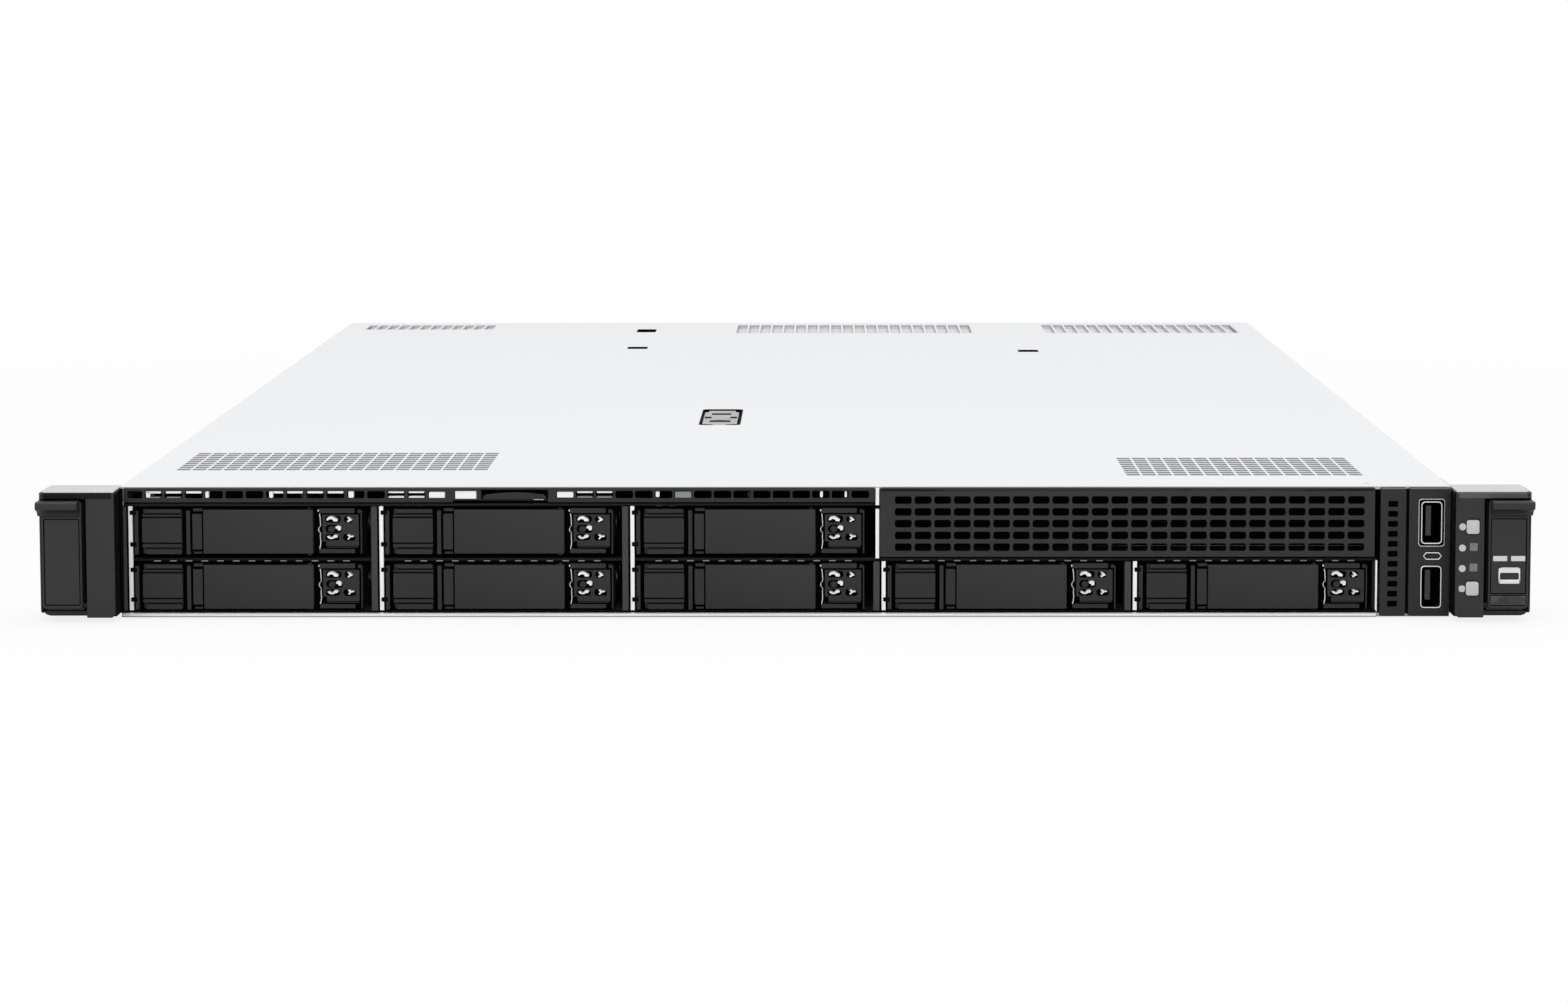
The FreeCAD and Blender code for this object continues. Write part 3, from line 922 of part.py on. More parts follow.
def power_supply(number):
    tag = f"_{number}"
    left = f"({number - 1}*supply_pitch - supply_left)"
    right = f"({left} + supply_width)"
    front, back = f"({rear} - supply_length)", rear
    outer = box("supply_outer" + tag, (left, front, "supply_low"), (right, back, "supply_high"))
    hollow = box("supply_hollow" + tag, (f"{left} + supply_wall", f"{front} - 1", "supply_low + supply_wall"),
                 (f"{right} - supply_wall", f"{back} - supply_wall", "supply_high - supply_wall"))
    case = cut("supply_shell" + tag, outer, [hollow])
    core = box("supply_core" + tag, (f"{left} + supply_wall", f"{front} + core_start",
                                     "supply_low + supply_wall"),
               (f"{right} - supply_wall", f"{front} + core_end", "core_high"))
    inlet_start, inlet_end = f"({left} + inlet_left)", f"({left} + inlet_left + inlet_width)"
    inlet_base, inlet_top = "(supply_low + inlet_low)", "(supply_low + inlet_low + inlet_height)"
    inlet_box = box("inlet_box" + tag, (inlet_start, f"{back} - inlet_depth - inlet_wall", inlet_base),
                    (inlet_end, f"{back} + inlet_proud", inlet_top))
    handle = box("handle_outer" + tag, (f"{left} + handle_left", back, "handle_low"),
                 (f"{left} + handle_right", f"{back} + handle_reach", "handle_high"))
    finger_gap = box("finger_gap" + tag, (f"{left} + handle_left + handle_bar", back, "handle_low - 1"),
                     (f"{left} + handle_right - handle_bar", f"{back} + handle_reach - handle_bar",
                      "handle_high + 1"))
    loop = cut("handle_loop" + tag, handle, [finger_gap])
    lugs = [box(f"tab_lug_{index}{tag}", (f"{left} + tab_place - tab_side", back, low),
                (f"{left} + tab_place + tab_plate + tab_side", f"{back} + 2*tab_pivot", f"{low} + tab_lug"))
            for index, low in enumerate(("tab_base - tab_lug - tab_clear", "tab_top + tab_clear"))]
    pin_place = f"{left} + tab_place + tab_plate/2"
    tools = [box("inlet_hollow" + tag, (f"{inlet_start} + inlet_wall", f"{back} - inlet_depth",
                                        f"{inlet_base} + inlet_wall"),
                 (f"{inlet_end} - inlet_wall", f"{back} + 2*inlet_proud", f"{inlet_top} - inlet_wall"))]
    tools.append(cylinder("tab_bore" + tag, "tab_pin + tab_running", "tab_top - tab_base + 4*tab_lug",
                          (pin_place, f"{back} + tab_pivot", "tab_base - 2*tab_lug"), "z"))
    for column in range(int(size("exhaust_columns"))):
        for row in range(int(size("exhaust_rows"))):
            across = f"({left} + exhaust_left + {column}*exhaust_pitch)"
            up = f"(supply_low + exhaust_low + {row}*exhaust_pitch)"
            tools.append(box(f"exhaust_{column}_{row}{tag}", (across, f"{back} - 2*supply_wall", up),
                             (f"{across} + exhaust_cell", f"{back} + 1", f"{up} + exhaust_cell")))
    middle = f"({inlet_start} + inlet_width/2)"
    blades = [box(f"inlet_blade_{index}{tag}",
                  (f"{middle} + {across} - inlet_blade/2", f"{back} - inlet_depth - inlet_wall/2",
                   f"{inlet_base} + {up}"),
                  (f"{middle} + {across} + inlet_blade/2", f"{back} - blade_setback",
                   f"{inlet_base} + {up} + blade_height"))
              for index, (across, up) in enumerate(blade_places)]
    solid = fuse("supply_solid" + tag, [case, core, inlet_box, loop] + lugs)
    keep(fuse("supply" + tag, [cut("supply_cut" + tag, solid, tools)] + blades), "power_supply" + tag)
    tab = box("tab_body" + tag, (f"{left} + tab_place", f"{back} + tab_gap", "tab_base"),
              (f"{left} + tab_place + tab_plate", f"{back} + tab_reach", "tab_top"))
    pin = cylinder("tab_axle" + tag, "tab_pin", "tab_top - tab_base + 2*(tab_lug + tab_side/5)",
                   (pin_place, f"{back} + tab_pivot", "tab_base - tab_lug - tab_side/5"), "z")
    thumb = box("tab_thumb" + tag, (f"{left} + tab_place + tab_plate", f"{back} + tab_reach - tab_plate",
                                    "tab_base"),
                (f"{left} + tab_place + tab_plate + thumb_width", f"{back} + tab_reach", "tab_top"))
    keep(fuse("supply_tab" + tag, [tab, pin, thumb]), "supply_release_tab" + tag)


# ---- studs and screws ----

def fasteners():
    pieces = []
    for side, shank_start, head_start in (
            ("right", half, f"{half} + stud_length"),
            ("left", f"-{half} - stud_length", f"-{half} - stud_length - stud_head_gauge")):
        for index in range(3):
            along = f"(stud_first + {index}*stud_pitch)"
            tag = f"_{side}_{index}"
            shank = cylinder("stud_shank" + tag, "stud_radius", "stud_length",
                             (shank_start, along, "stud_height"), "x")
            head = cylinder("stud_head" + tag, "stud_head", "stud_head_gauge",
                            (head_start, along, "stud_height"), "x")
            pieces.append(fuse("stud" + tag, [shank, head]))
    front, middle, back = "board_front + leg_inset", "board_step - leg_inset", "board_back - leg_inset"
    legs = [(across, along) for across in ("leg_inset - board_side", "-leg_inner", "leg_inner",
                                           "board_side - leg_inset")
            for along in (front, middle)]
    legs += [("leg_inset - board_notch", back), ("board_side - leg_inset", back)]
    for index, (across, along) in enumerate(legs):
        pieces.append(cylinder(f"standoff_{index}", "standoff", "board_low - tray_gauge",
                               (across, along, "tray_gauge"), "z"))
    keep(group("studs_and_standoffs", pieces), "fasteners")


def write_parts():
    doc.recompute()
    faults = [item.Name for item in doc.Objects if "Invalid" in item.State or "Error" in item.State]
    faults += [item.Label for item in finished if item.Shape.isNull() or not item.Shape.isValid()]
    if faults:
        raise SystemExit("failed: " + ", ".join(faults))
    os.makedirs("parts", exist_ok=True)
    for item in finished:
        item.Shape.exportStep(f"parts/{item.Label}.step")
        solids = len(item.Shape.Solids)
        print(f"{item.Label}: {solids} solid{'s' if solids > 1 else ''}, {item.Shape.Volume / 1000:.1f} cm3")
    print(len(finished), "nodes")


chassis_tray()
front_cover()
access_panel()
cover_latch()
drive_cage()
drive_backplane()
drives()
vent_strip()
information_tab()
media_bay_blank()
port_bezel()
port_shells()
ears()
fans()
system_board()
heatsinks()
memory_modules()
riser_cage()
power_supply(1)
power_supply(2)
fasteners()
write_parts()
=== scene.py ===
import json
import math
import bpy
import bmesh
from mathutils import Matrix, Vector

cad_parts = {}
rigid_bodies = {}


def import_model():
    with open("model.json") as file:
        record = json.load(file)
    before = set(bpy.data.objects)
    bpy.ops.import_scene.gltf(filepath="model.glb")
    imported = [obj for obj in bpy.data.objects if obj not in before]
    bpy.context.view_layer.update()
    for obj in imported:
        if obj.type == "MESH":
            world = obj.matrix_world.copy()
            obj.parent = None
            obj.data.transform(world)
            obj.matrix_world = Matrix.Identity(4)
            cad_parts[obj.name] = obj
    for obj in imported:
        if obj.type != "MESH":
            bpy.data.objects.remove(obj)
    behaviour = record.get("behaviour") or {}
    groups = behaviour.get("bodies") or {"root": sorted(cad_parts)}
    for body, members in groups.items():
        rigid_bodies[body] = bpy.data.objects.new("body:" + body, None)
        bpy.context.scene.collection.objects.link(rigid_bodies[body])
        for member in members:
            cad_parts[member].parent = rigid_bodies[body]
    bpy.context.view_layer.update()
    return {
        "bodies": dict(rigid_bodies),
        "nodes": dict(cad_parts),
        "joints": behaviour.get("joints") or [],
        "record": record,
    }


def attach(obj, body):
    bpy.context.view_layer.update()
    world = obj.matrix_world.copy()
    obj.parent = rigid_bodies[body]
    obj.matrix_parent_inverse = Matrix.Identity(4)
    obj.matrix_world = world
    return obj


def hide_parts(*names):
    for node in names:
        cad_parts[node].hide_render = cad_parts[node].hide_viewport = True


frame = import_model()
scene = bpy.context.scene
nodes = frame["nodes"]
mm = 0.001
bezelFace = -10.0  # plane of the drive bezels
bezelBack = -8.4   # back of the bezels' 1.6 mm faces
rearFace = 739.0
print("frame loaded:", len(nodes), "nodes")


class Wire:
    # a node socket that plain arithmetic works on
    def __init__(self, graph, socket):
        self.graph = graph
        self.socket = socket

    def __add__(self, other):
        return self.graph.maths("ADD", self, other)

    __radd__ = __add__

    def __mul__(self, other):
        return self.graph.maths("MULTIPLY", self, other)

    __rmul__ = __mul__

    def __sub__(self, other):
        return self.graph.maths("SUBTRACT", self, other)

    def __rsub__(self, other):
        return self.graph.maths("SUBTRACT", other, self)

    def __truediv__(self, other):
        return self.graph.maths("DIVIDE", self, other)


class Graph:
    def __init__(self, tree):
        self.tree = tree
        tree.nodes.clear()

    def node(self, kind, settings=None, inputs=None, output=0):
        made = self.tree.nodes.new(kind)
        for name, value in (settings or {}).items():
            setattr(made, name, value)
        for key, value in (inputs or {}).items():
            if isinstance(value, Wire):
                self.tree.links.new(value.socket, made.inputs[key])
            else:
                made.inputs[key].default_value = value
        return Wire(self, made.outputs[output]) if made.outputs else None

    def maths(self, operation, first, second=0.0):
        return self.node("ShaderNodeMath", {"operation": operation}, {0: first, 1: second})

    def blendColour(self, share, first, second):
        return self.node("ShaderNodeMix", {"data_type": "RGBA"}, {0: share, 6: first, 7: second}, 2)

    def vector(self, operation, first, second, socket=1):
        return self.node("ShaderNodeVectorMath", {"operation": operation}, {0: first, socket: second})

    def close(self, geometry, finish):
        # real copies with the given finish, out of the tree
        real = self.node("GeometryNodeRealizeInstances", {}, {"Geometry": geometry})
        painted = self.node("GeometryNodeSetMaterial", {}, {"Geometry": real, "Material": finish})
        self.tree.links.new(painted.socket, self.tree.nodes.new("NodeGroupOutput").inputs[0])
        return self.tree


# What a finish has unless its own row says otherwise: how far the roughness varies, the grain's depth,
# how far the grain is drawn out along each axis, and a darker tone below some height in millimetres: on the
# covers the bare cut edge of the holes with painted shade on their walls, on the lip painted contact shade
# at its foot.
plainFinish = {"roughSpread": 0.12, "metal": 0.0, "gloss": 0.5, "grainDepth": 0.02, "drawn": (1.0, 1.0, 1.0),
               "speckle": 0.0, "glow": 0.0, "edgeBelow": 0.0, "edge": (0.4, 0.4, 0.41)}


# Two tones, roughness, grain size, size of the slow cloudiness, and what differs from the plain finish.
def finish(deep, pale, rough, grain, cloud, **others):
    return {**plainFinish, **others, "deep": deep, "pale": pale, "rough": rough, "grain": grain,
            "cloud": cloud}


finishes = {
    # the covers' hole walls get a darker edge tone: a bare cut edge, with painted shade in the holes
    "coverMetalWallShade": finish((0.79, 0.8, 0.825), (0.85, 0.86, 0.88), 0.42, 1500, 6, metal=0.15,
                         grainDepth=0.012, drawn=(0.08, 1, 1), edgeBelow=42.74, edge=(0.58, 0.585, 0.6)),
    # the lip's bottom band gets a darker edge tone as painted contact shade where it meets the floor
    "lipMetalContactShade": finish((0.93, 0.93, 0.935), (0.97, 0.97, 0.975), 0.35, 1500, 9, grainDepth=0.012,
                       drawn=(0.08, 1, 1), edgeBelow=0.45, edge=(0.36, 0.36, 0.365)),
    "ventShade": finish((0.72, 0.725, 0.735), (0.79, 0.795, 0.81), 0.6, 1200, 18),
    "latchGrey": finish((0.34, 0.345, 0.35), (0.44, 0.445, 0.45), 0.45, 2400, 60, gloss=0.4,
                        grainDepth=0.03),
    "barPlastic": finish((0.6, 0.61, 0.61), (0.72, 0.725, 0.725), 0.35, 2600, 240),
    "shelfMetal": finish((0.16, 0.16, 0.165), (0.27, 0.27, 0.275), 0.5, 1400, 90, metal=0.3),
    "traySteel": finish((0.5, 0.51, 0.53), (0.62, 0.63, 0.65), 0.38, 700, 24, metal=0.75, grainDepth=0.02,
                        drawn=(1, 0.12, 1), speckle=0.35),
    # made near black as painted shade between the drive bays
    "cageSteelShade": finish((0.006, 0.006, 0.0065), (0.012, 0.0122, 0.013), 0.5, 900, 30, gloss=0.12),
    "shadowPlastic": finish((0.005, 0.005, 0.0055), (0.009, 0.009, 0.0098), 0.55, 2600, 26, gloss=0.12),
    # paler copy of the brow's black plastic: painted light on the right brow, where the left brow gets the
    # shaded copy
    "litBrowPlastic": finish((0.068, 0.069, 0.071), (0.098, 0.099, 0.102), 0.42, 2600, 40, gloss=0.35),
    # a paler strip on the port bezel's top edge as a painted highlight
    "highlightPlastic": finish((0.16, 0.161, 0.164), (0.22, 0.221, 0.225), 0.4, 2600, 40, gloss=0.4),
    "gripPlastic": finish((0.024, 0.0245, 0.0255), (0.072, 0.073, 0.076), 0.55, 1700, 120, gloss=0.35,
                          grainDepth=0.12, speckle=0.9),
    "blackPlastic": finish((0.0085, 0.009, 0.0095), (0.015, 0.0155, 0.0165), 0.5, 3200, 22, gloss=0.34,
                           grainDepth=0.035, roughSpread=0.16),
    "earPlastic": finish((0.01, 0.0104, 0.011), (0.0165, 0.017, 0.018), 0.44, 2600, 26, gloss=0.4,
                         grainDepth=0.03, roughSpread=0.16),
    "leverPaint": finish((0.0105, 0.011, 0.0118), (0.018, 0.0185, 0.0198), 0.52, 2800, 40, gloss=0.36,
                         grainDepth=0.04, roughSpread=0.14),
    "postPlastic": finish((0.025, 0.026, 0.028), (0.04, 0.041, 0.043), 0.5, 2600, 30, gloss=0.4),
    "greyPlastic": finish((0.22, 0.23, 0.235), (0.29, 0.3, 0.305), 0.48, 2400, 60, gloss=0.4,
                          grainDepth=0.03),
    # its glow is painted light: white parts that give off light though they are no lamps
    "brightPlastic": finish((0.8, 0.81, 0.81), (0.9, 0.9, 0.9), 0.35, 2600, 90, glow=0.12),
    "keyPlastic": finish((0.5, 0.51, 0.51), (0.6, 0.61, 0.61), 0.32, 3000, 260, grainDepth=0.015),
    "lampPlastic": finish((0.15, 0.15, 0.152), (0.2, 0.2, 0.202), 0.3, 3000, 260, grainDepth=0.01),
    "driveMetal": finish((0.42, 0.43, 0.45), (0.52, 0.53, 0.55), 0.36, 1100, 30, metal=0.85,
                         drawn=(1, 0.1, 1)),
    "plating": finish((0.68, 0.67, 0.65), (0.8, 0.79, 0.77), 0.2, 1600, 80, metal=1, grainDepth=0.01,
                      roughSpread=0.1),
    # near black for black parts, also used as painted shade in gaps, wells, grooves and behind holes
    "deepBlack": finish((0.002, 0.002, 0.0022), (0.0045, 0.0045, 0.005), 0.75, 2000, 40, gloss=0.03),
    "solderMask": finish((0.008, 0.06, 0.028), (0.016, 0.1, 0.045), 0.32, 900, 60, grainDepth=0.03,
                         speckle=0.25),
    "chipBlack": finish((0.012, 0.012, 0.013), (0.022, 0.022, 0.024), 0.4, 2600, 120),
    "finMetal": finish((0.66, 0.67, 0.68), (0.78, 0.79, 0.8), 0.3, 1000, 30, metal=0.95, drawn=(1, 0.1, 1)),
    "socketPlastic": finish((0.016, 0.017, 0.02), (0.028, 0.03, 0.034), 0.45, 2400, 60),
    "supplySteel": finish((0.5, 0.51, 0.53), (0.6, 0.61, 0.63), 0.34, 900, 28, metal=0.8, drawn=(1, 0.1, 1),
                          speckle=0.2),
    "touchPlastic": finish((0.42, 0.085, 0.035), (0.52, 0.12, 0.05), 0.42, 2400, 90, grainDepth=0.03),
    "screwMetal": finish((0.55, 0.55, 0.56), (0.68, 0.68, 0.69), 0.28, 2000, 120, metal=0.95),
}


def makeFinish(name, look):
    material = bpy.data.materials.new(name)
    material.use_nodes = True
    graph = Graph(material.node_tree)
    place = graph.node("ShaderNodeTexCoord", output="Object")
    drawn = graph.node("ShaderNodeMapping", {}, {"Vector": place, "Scale": look["drawn"]})
    cloud = graph.node("ShaderNodeTexNoise", {}, {"Vector": place, "Scale": look["cloud"], "Detail": 5.0,
                                                  "Roughness": 0.62})
    grain = graph.node("ShaderNodeTexNoise", {}, {"Vector": drawn, "Scale": look["grain"], "Detail": 2.0})
    share = cloud * 0.75 + grain * 0.5 - 0.125
    if look["speckle"]:
        flakes = graph.node("ShaderNodeTexVoronoi", {}, {"Vector": drawn, "Scale": look["grain"] / 6},
                            "Color")
        tint = graph.node("ShaderNodeSeparateColor", {}, {"Color": flakes})
        share = share + (tint - 0.5) * look["speckle"]
    colour = graph.blendColour(share, (*look["deep"], 1.0), (*look["pale"], 1.0))
    # below a given height the colour turns to the edge tone: painted shade on the covers' hole walls, which
    # are partly a bare cut edge, and painted contact shade at the lip's foot
    if look["edgeBelow"]:
        height = graph.node("ShaderNodeSeparateXYZ", {}, {"Vector": place}, "Z")
        edgeShade = graph.maths("LESS_THAN", height, look["edgeBelow"] * mm)
        colour = graph.blendColour(edgeShade, colour, (*look["edge"], 1.0))
    rough = cloud * look["roughSpread"] + grain * 0.06 + (look["rough"] - look["roughSpread"] / 2 - 0.03)
    bump = graph.node("ShaderNodeBump", {}, {"Strength": 0.6, "Distance": look["grainDepth"] * mm,
                                             "Height": grain})
    inputs = {"Base Color": colour, "Roughness": rough, "Metallic": look["metal"],
              "Specular IOR Level": look["gloss"], "Normal": bump}
    # painted light: an emission that makes a part glow though it is no lamp
    if look["glow"]:
        inputs.update({"Emission Color": colour, "Emission Strength": look["glow"]})
    shader = graph.node("ShaderNodeBsdfPrincipled", {}, inputs)
    graph.node("ShaderNodeOutputMaterial", {}, {"Surface": shader})
    return material


paint = {name: makeFinish(name, look) for name, look in finishes.items()}
print("finishes made:", len(paint))


def newTree(name, sockets):
    tree = bpy.data.node_groups.new(name, "GeometryNodeTree")
    tree.interface.new_socket("Geometry", in_out="INPUT", socket_type="NodeSocketGeometry")
    for label, kind in sockets:
        tree.interface.new_socket(label, in_out="INPUT", socket_type="NodeSocket" + kind)
    tree.interface.new_socket("Geometry", in_out="OUTPUT", socket_type="NodeSocketGeometry")
    graph = Graph(tree)
    given = tree.nodes.new("NodeGroupInput")
    wires = {socket.name: Wire(graph, socket) for socket in given.outputs if socket.name}
    return graph, wires


# Copies its geometry over a grid of columns and rows, with room for a seeded jitter.
def makeGridTree():
    graph, given = newTree("gridOfCopies", [
        ("Columns", "Int"), ("Rows", "Int"), ("Column Step", "Vector"), ("Row Step", "Vector"),
        ("Jitter", "Vector"), ("Size Change", "Float"), ("Seed", "Int"), ("Finish", "Material")])
    index = graph.node("GeometryNodeInputIndex")
    row = graph.maths("FLOOR", (index + 0.5) / given["Columns"])
    column = index - row * given["Columns"]
    place = graph.vector("SCALE", given["Column Step"], column, 3)
    place = graph.vector("ADD", place, graph.vector("SCALE", given["Row Step"], row, 3))
    shake = graph.node("FunctionNodeRandomValue", {"data_type": "FLOAT_VECTOR"},
                       {0: (-1.0, -1.0, -1.0), 1: (1.0, 1.0, 1.0), "Seed": given["Seed"]})
    place = graph.vector("ADD", place, graph.vector("MULTIPLY", given["Jitter"], shake))
    size = graph.node("FunctionNodeRandomValue", {"data_type": "FLOAT"},
                      {2: 1 - given["Size Change"], 3: 1.0, "Seed": given["Seed"]}, 1)
    count = given["Columns"] * given["Rows"]
    points = graph.node("GeometryNodePoints", {}, {"Count": count, "Position": place})
    copies = graph.node("GeometryNodeInstanceOnPoints", {}, {"Points": points, "Instance": given["Geometry"],
                                                             "Scale": size})
    return graph.close(copies, given["Finish"])


# Fills flat closed loops, holes left open, and gives the sheet its gauge.
def makeSheetTree():
    graph, given = newTree("perforatedSheet", [("Gauge", "Float"), ("Finish", "Material")])
    loops = graph.node("GeometryNodeMeshToCurve", {}, {"Mesh": given["Geometry"]})
    flat = graph.node("GeometryNodeFillCurve", {}, {"Curve": loops})
    raised = graph.node("GeometryNodeExtrudeMesh", {"mode": "FACES"},
                        {"Mesh": flat, "Offset Scale": given["Gauge"], "Individual": False})
    underside = graph.node("GeometryNodeFlipFaces", {}, {"Mesh": flat})
    both = graph.node("GeometryNodeJoinGeometry")
    for part in (raised, underside):
        graph.tree.links.new(part.socket, both.socket.node.inputs[0])
    closed = graph.node("GeometryNodeMergeByDistance", {}, {"Geometry": both, "Distance": 0.001})
    return graph.close(closed, given["Finish"])


def plainMesh(carrier):
    made = bpy.data.meshes.new_from_object(carrier.evaluated_get(bpy.context.evaluated_depsgraph_get()))
    bpy.data.objects.remove(carrier)
    return made


def carry(mesh):
    carrier = bpy.data.objects.new(mesh.name, mesh)
    scene.collection.objects.link(carrier)
    return carrier


# Runs a tree over a mesh and hands back the plain result. Its finish is only a stand-in: a shape
# drops it, and each piece gets its own when it is settled.
def grow(mesh, tree, values):
    carrier = carry(mesh)
    modifier = carrier.modifiers.new(tree.name, "NODES")
    modifier.node_group = tree
    given = {**values, "Finish": paint["traySteel"]}
    for item in tree.interface.items_tree:
        if item.item_type == "SOCKET" and item.in_out == "INPUT" and item.name in given:
            modifier[item.identifier] = given[item.name]
    carrier.update_tag()
    return plainMesh(carrier)


gridTree = makeGridTree()
sheetTree = makeSheetTree()
upright = Matrix.Rotation(math.pi / 2, 4, "X")  # turns a sheet drawn flat to face the front
print("geometry trees ready")


# Several values of a dictionary, by their names in one line.
def pick(table, names):
    return [table[name] for name in names.split()]


# Outlines and shapes are all in millimetres.
def ring(left, low, right, high, radius=0.0, steps=3):
    if not radius:
        return [(left, low), (right, low), (right, high), (left, high)]
    points = []
    corners = ((right - radius, low + radius, -90), (right - radius, high - radius, 0),
               (left + radius, high - radius, 90), (left + radius, low + radius, 180))
    for across, up, start in corners:
        for step in range(steps + 1):
            angle = math.radians(start + 90 * step / steps)
            points.append((across + radius * math.cos(angle), up + radius * math.sin(angle)))
    return points


# The outline of a box drawn in by a margin, or out where the margin is below zero.
def inset(box, by, radius=0.0, steps=3):
    left, low, right, high = box
    return ring(left + by, low + by, right - by, high - by, radius, steps)


def disc(across, up, radius, sides=20):
    turns = [2 * math.pi * i / sides for i in range(sides)]
    return [(across + radius * math.cos(turn), up + radius * math.sin(turn)) for turn in turns]


# An outline drawn smaller about a middle.
def shrunk(outline, middle, across, up):
    return [(middle[0] + (u - middle[0]) * across, middle[1] + (v - middle[1]) * up) for u, v in outline]


class Shape:
    # solids gathered into one mesh
    placing = {"x": lambda u, v, w: (w, u, v),
               "y": lambda u, v, w: (u, w, v),
               "z": lambda u, v, w: (u, v, w)}

    def __init__(self):
        self.bm = bmesh.new()

    # A loft between outlines of equal length, each at its own place along an axis.
    def loft(self, outlines, places, axis="y"):
        place = self.placing[axis]
        rows = [[self.bm.verts.new(place(u, v, w)) for u, v in outline]
                for outline, w in zip(outlines, places)]
        self.bm.faces.new(rows[0])
        self.bm.faces.new(reversed(rows[-1]))
        count = len(rows[0])
        for row, following in zip(rows, rows[1:]):
            for i in range(count):
                self.bm.faces.new((row[i], following[i], following[(i + 1) % count], row[(i + 1) % count]))
        return self

    # An outline in the other two axes, pushed along one axis from low to high.
    def slab(self, outline, low, high, axis="y"):
        return self.loft([outline, outline], (low, high), axis)

    def pad(self, box, radius, steps, low, high, axis="y"):
        return self.slab(ring(*box, radius, steps), low, high, axis)

    # Pads from rows of box, radius, steps and how far forward each stands; all end at one plane.
    def pads(self, rows, back):
        for *box, radius, steps, lead in rows:
            self.pad(box, radius, steps, -lead, back)
        return self

    def block(self, start, end):
        return self.slab(ring(start[0], start[1], end[0], end[1]), start[2], end[2], "z")

    def add(self, mesh, matrix=Matrix()):
        moved = mesh.copy()
        moved.transform(matrix)
        self.bm.from_mesh(moved)
        bpy.data.meshes.remove(moved)
        return self

    # A sheet lying flat, its underside at the given height.
    def lay(self, loops, gauge, height):
        return self.add(sheetOf(loops, gauge), Matrix.Translation((0, 0, height)))

    # A sheet standing up; its face to the front lies at the given place less its gauge.
    def stand(self, loops, gauge, back):
        return self.add(sheetOf(loops, gauge), Matrix.Translation((0, back, 0)) @ upright)

    # A grid of copies, its first one moved to a place.
    def row(self, mesh, place, *grid, **others):
        return self.add(gridOf(mesh, *grid, **others), Matrix.Translation(place))

    # An outline drawn along and up, between two distances from the middle on one side.
    def side(self, outline, sign, near, far):
        return self.slab(outline, *span(sign, near, far), "x")

    def toMesh(self, name="part"):
        bmesh.ops.recalc_face_normals(self.bm, faces=self.bm.faces)
        mesh = bpy.data.meshes.new(name)
        self.bm.to_mesh(mesh)
        self.bm.free()
        return mesh


def wires(loops):
    bm = bmesh.new()
    for loop in loops:
        if isinstance(loop, bpy.types.Mesh):
            bm.from_mesh(loop)
            continue
        corners = [bm.verts.new((u, v, 0)) for u, v in loop]
        for first, second in zip(corners, corners[1:] + corners[:1]):
            bm.edges.new((first, second))
    mesh = bpy.data.meshes.new("loops")
    bm.to_mesh(mesh)
    bm.free()
    return mesh


def gridOf(mesh, columns, rows=1, columnStep=(0, 0, 0), rowStep=(0, 0, 0), jitter=(0, 0, 0),
           sizeChange=0.0, seed=4):
    values = {"Columns": columns, "Rows": rows, "Column Step": columnStep, "Row Step": rowStep,
              "Jitter": jitter, "Size Change": sizeChange, "Seed": seed}
    return grow(mesh, gridTree, values)


def cells(outline, columns, rows, across, along):
    return gridOf(wires([outline]), columns, rows, (across, 0, 0), (0, along, 0))


def sheetOf(loops, gauge):
    return grow(wires(loops), sheetTree, {"Gauge": gauge})


# A turned head, from sizes and heights given as shares of its radius and height.
def turned(radius, height, profile, sides, axis):
    outlines = [disc(0, 0, radius * size, sides) for size, _ in profile]
    return Shape().loft(outlines, [height * up for _, up in profile], axis).toMesh()


# A flat rivet that faces right.
def rivetLook(radius, proud):
    return turned(radius, proud, ((1.0, 0.0), (0.92, 0.55), (0.6, 1.0)), 14, "x")


# A recessed screw head that faces up.
def screwLook(radius, proud):
    return turned(radius, proud, ((1.0, 0.0), (1.0, 0.6), (0.86, 1.0), (0.42, 1.0), (0.3, 0.35)), 12, "z")


def rounded(mesh, edge, segments):
    mesh.shade_smooth()
    carrier = carry(mesh)
    bevel = carrier.modifiers.new("edges", "BEVEL")
    bevel.width = edge
    bevel.segments = segments
    bevel.limit_method = "ANGLE"
    bevel.angle_limit = math.radians(35)
    bevel.use_clamp_overlap = False
    bevel.harden_normals = True
    return plainMesh(carrier)


# A shape as a mesh in metres, its sharp edges rounded unless the edge is zero.
def finished(shape, name, edge, segments):
    mesh = shape.toMesh(name)
    if edge:
        mesh = rounded(mesh, edge, segments)
    mesh.transform(Matrix.Scale(mm, 4))
    return mesh


# Names a mesh, gives it its finish and lets it ride on a body in place of the named nodes.
def settle(mesh, name, body, finish, replaced):
    mesh.name = name
    mesh.materials.clear()
    mesh.materials.append(paint[finish])
    mesh.polygons.foreach_set("material_index", [0] * len(mesh.polygons))
    piece = bpy.data.objects.new(name, mesh)
    scene.collection.objects.link(piece)
    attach(piece, body)
    if replaced:
        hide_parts(*replaced)


# Turns a shape into a finished piece; edge is the width of its rounded edges.
def make(shape, name, slotName, finish, edge, *replaced, segments=1, body="chassis"):
    settle(finished(shape, name, edge, segments), name, body, finish, replaced)


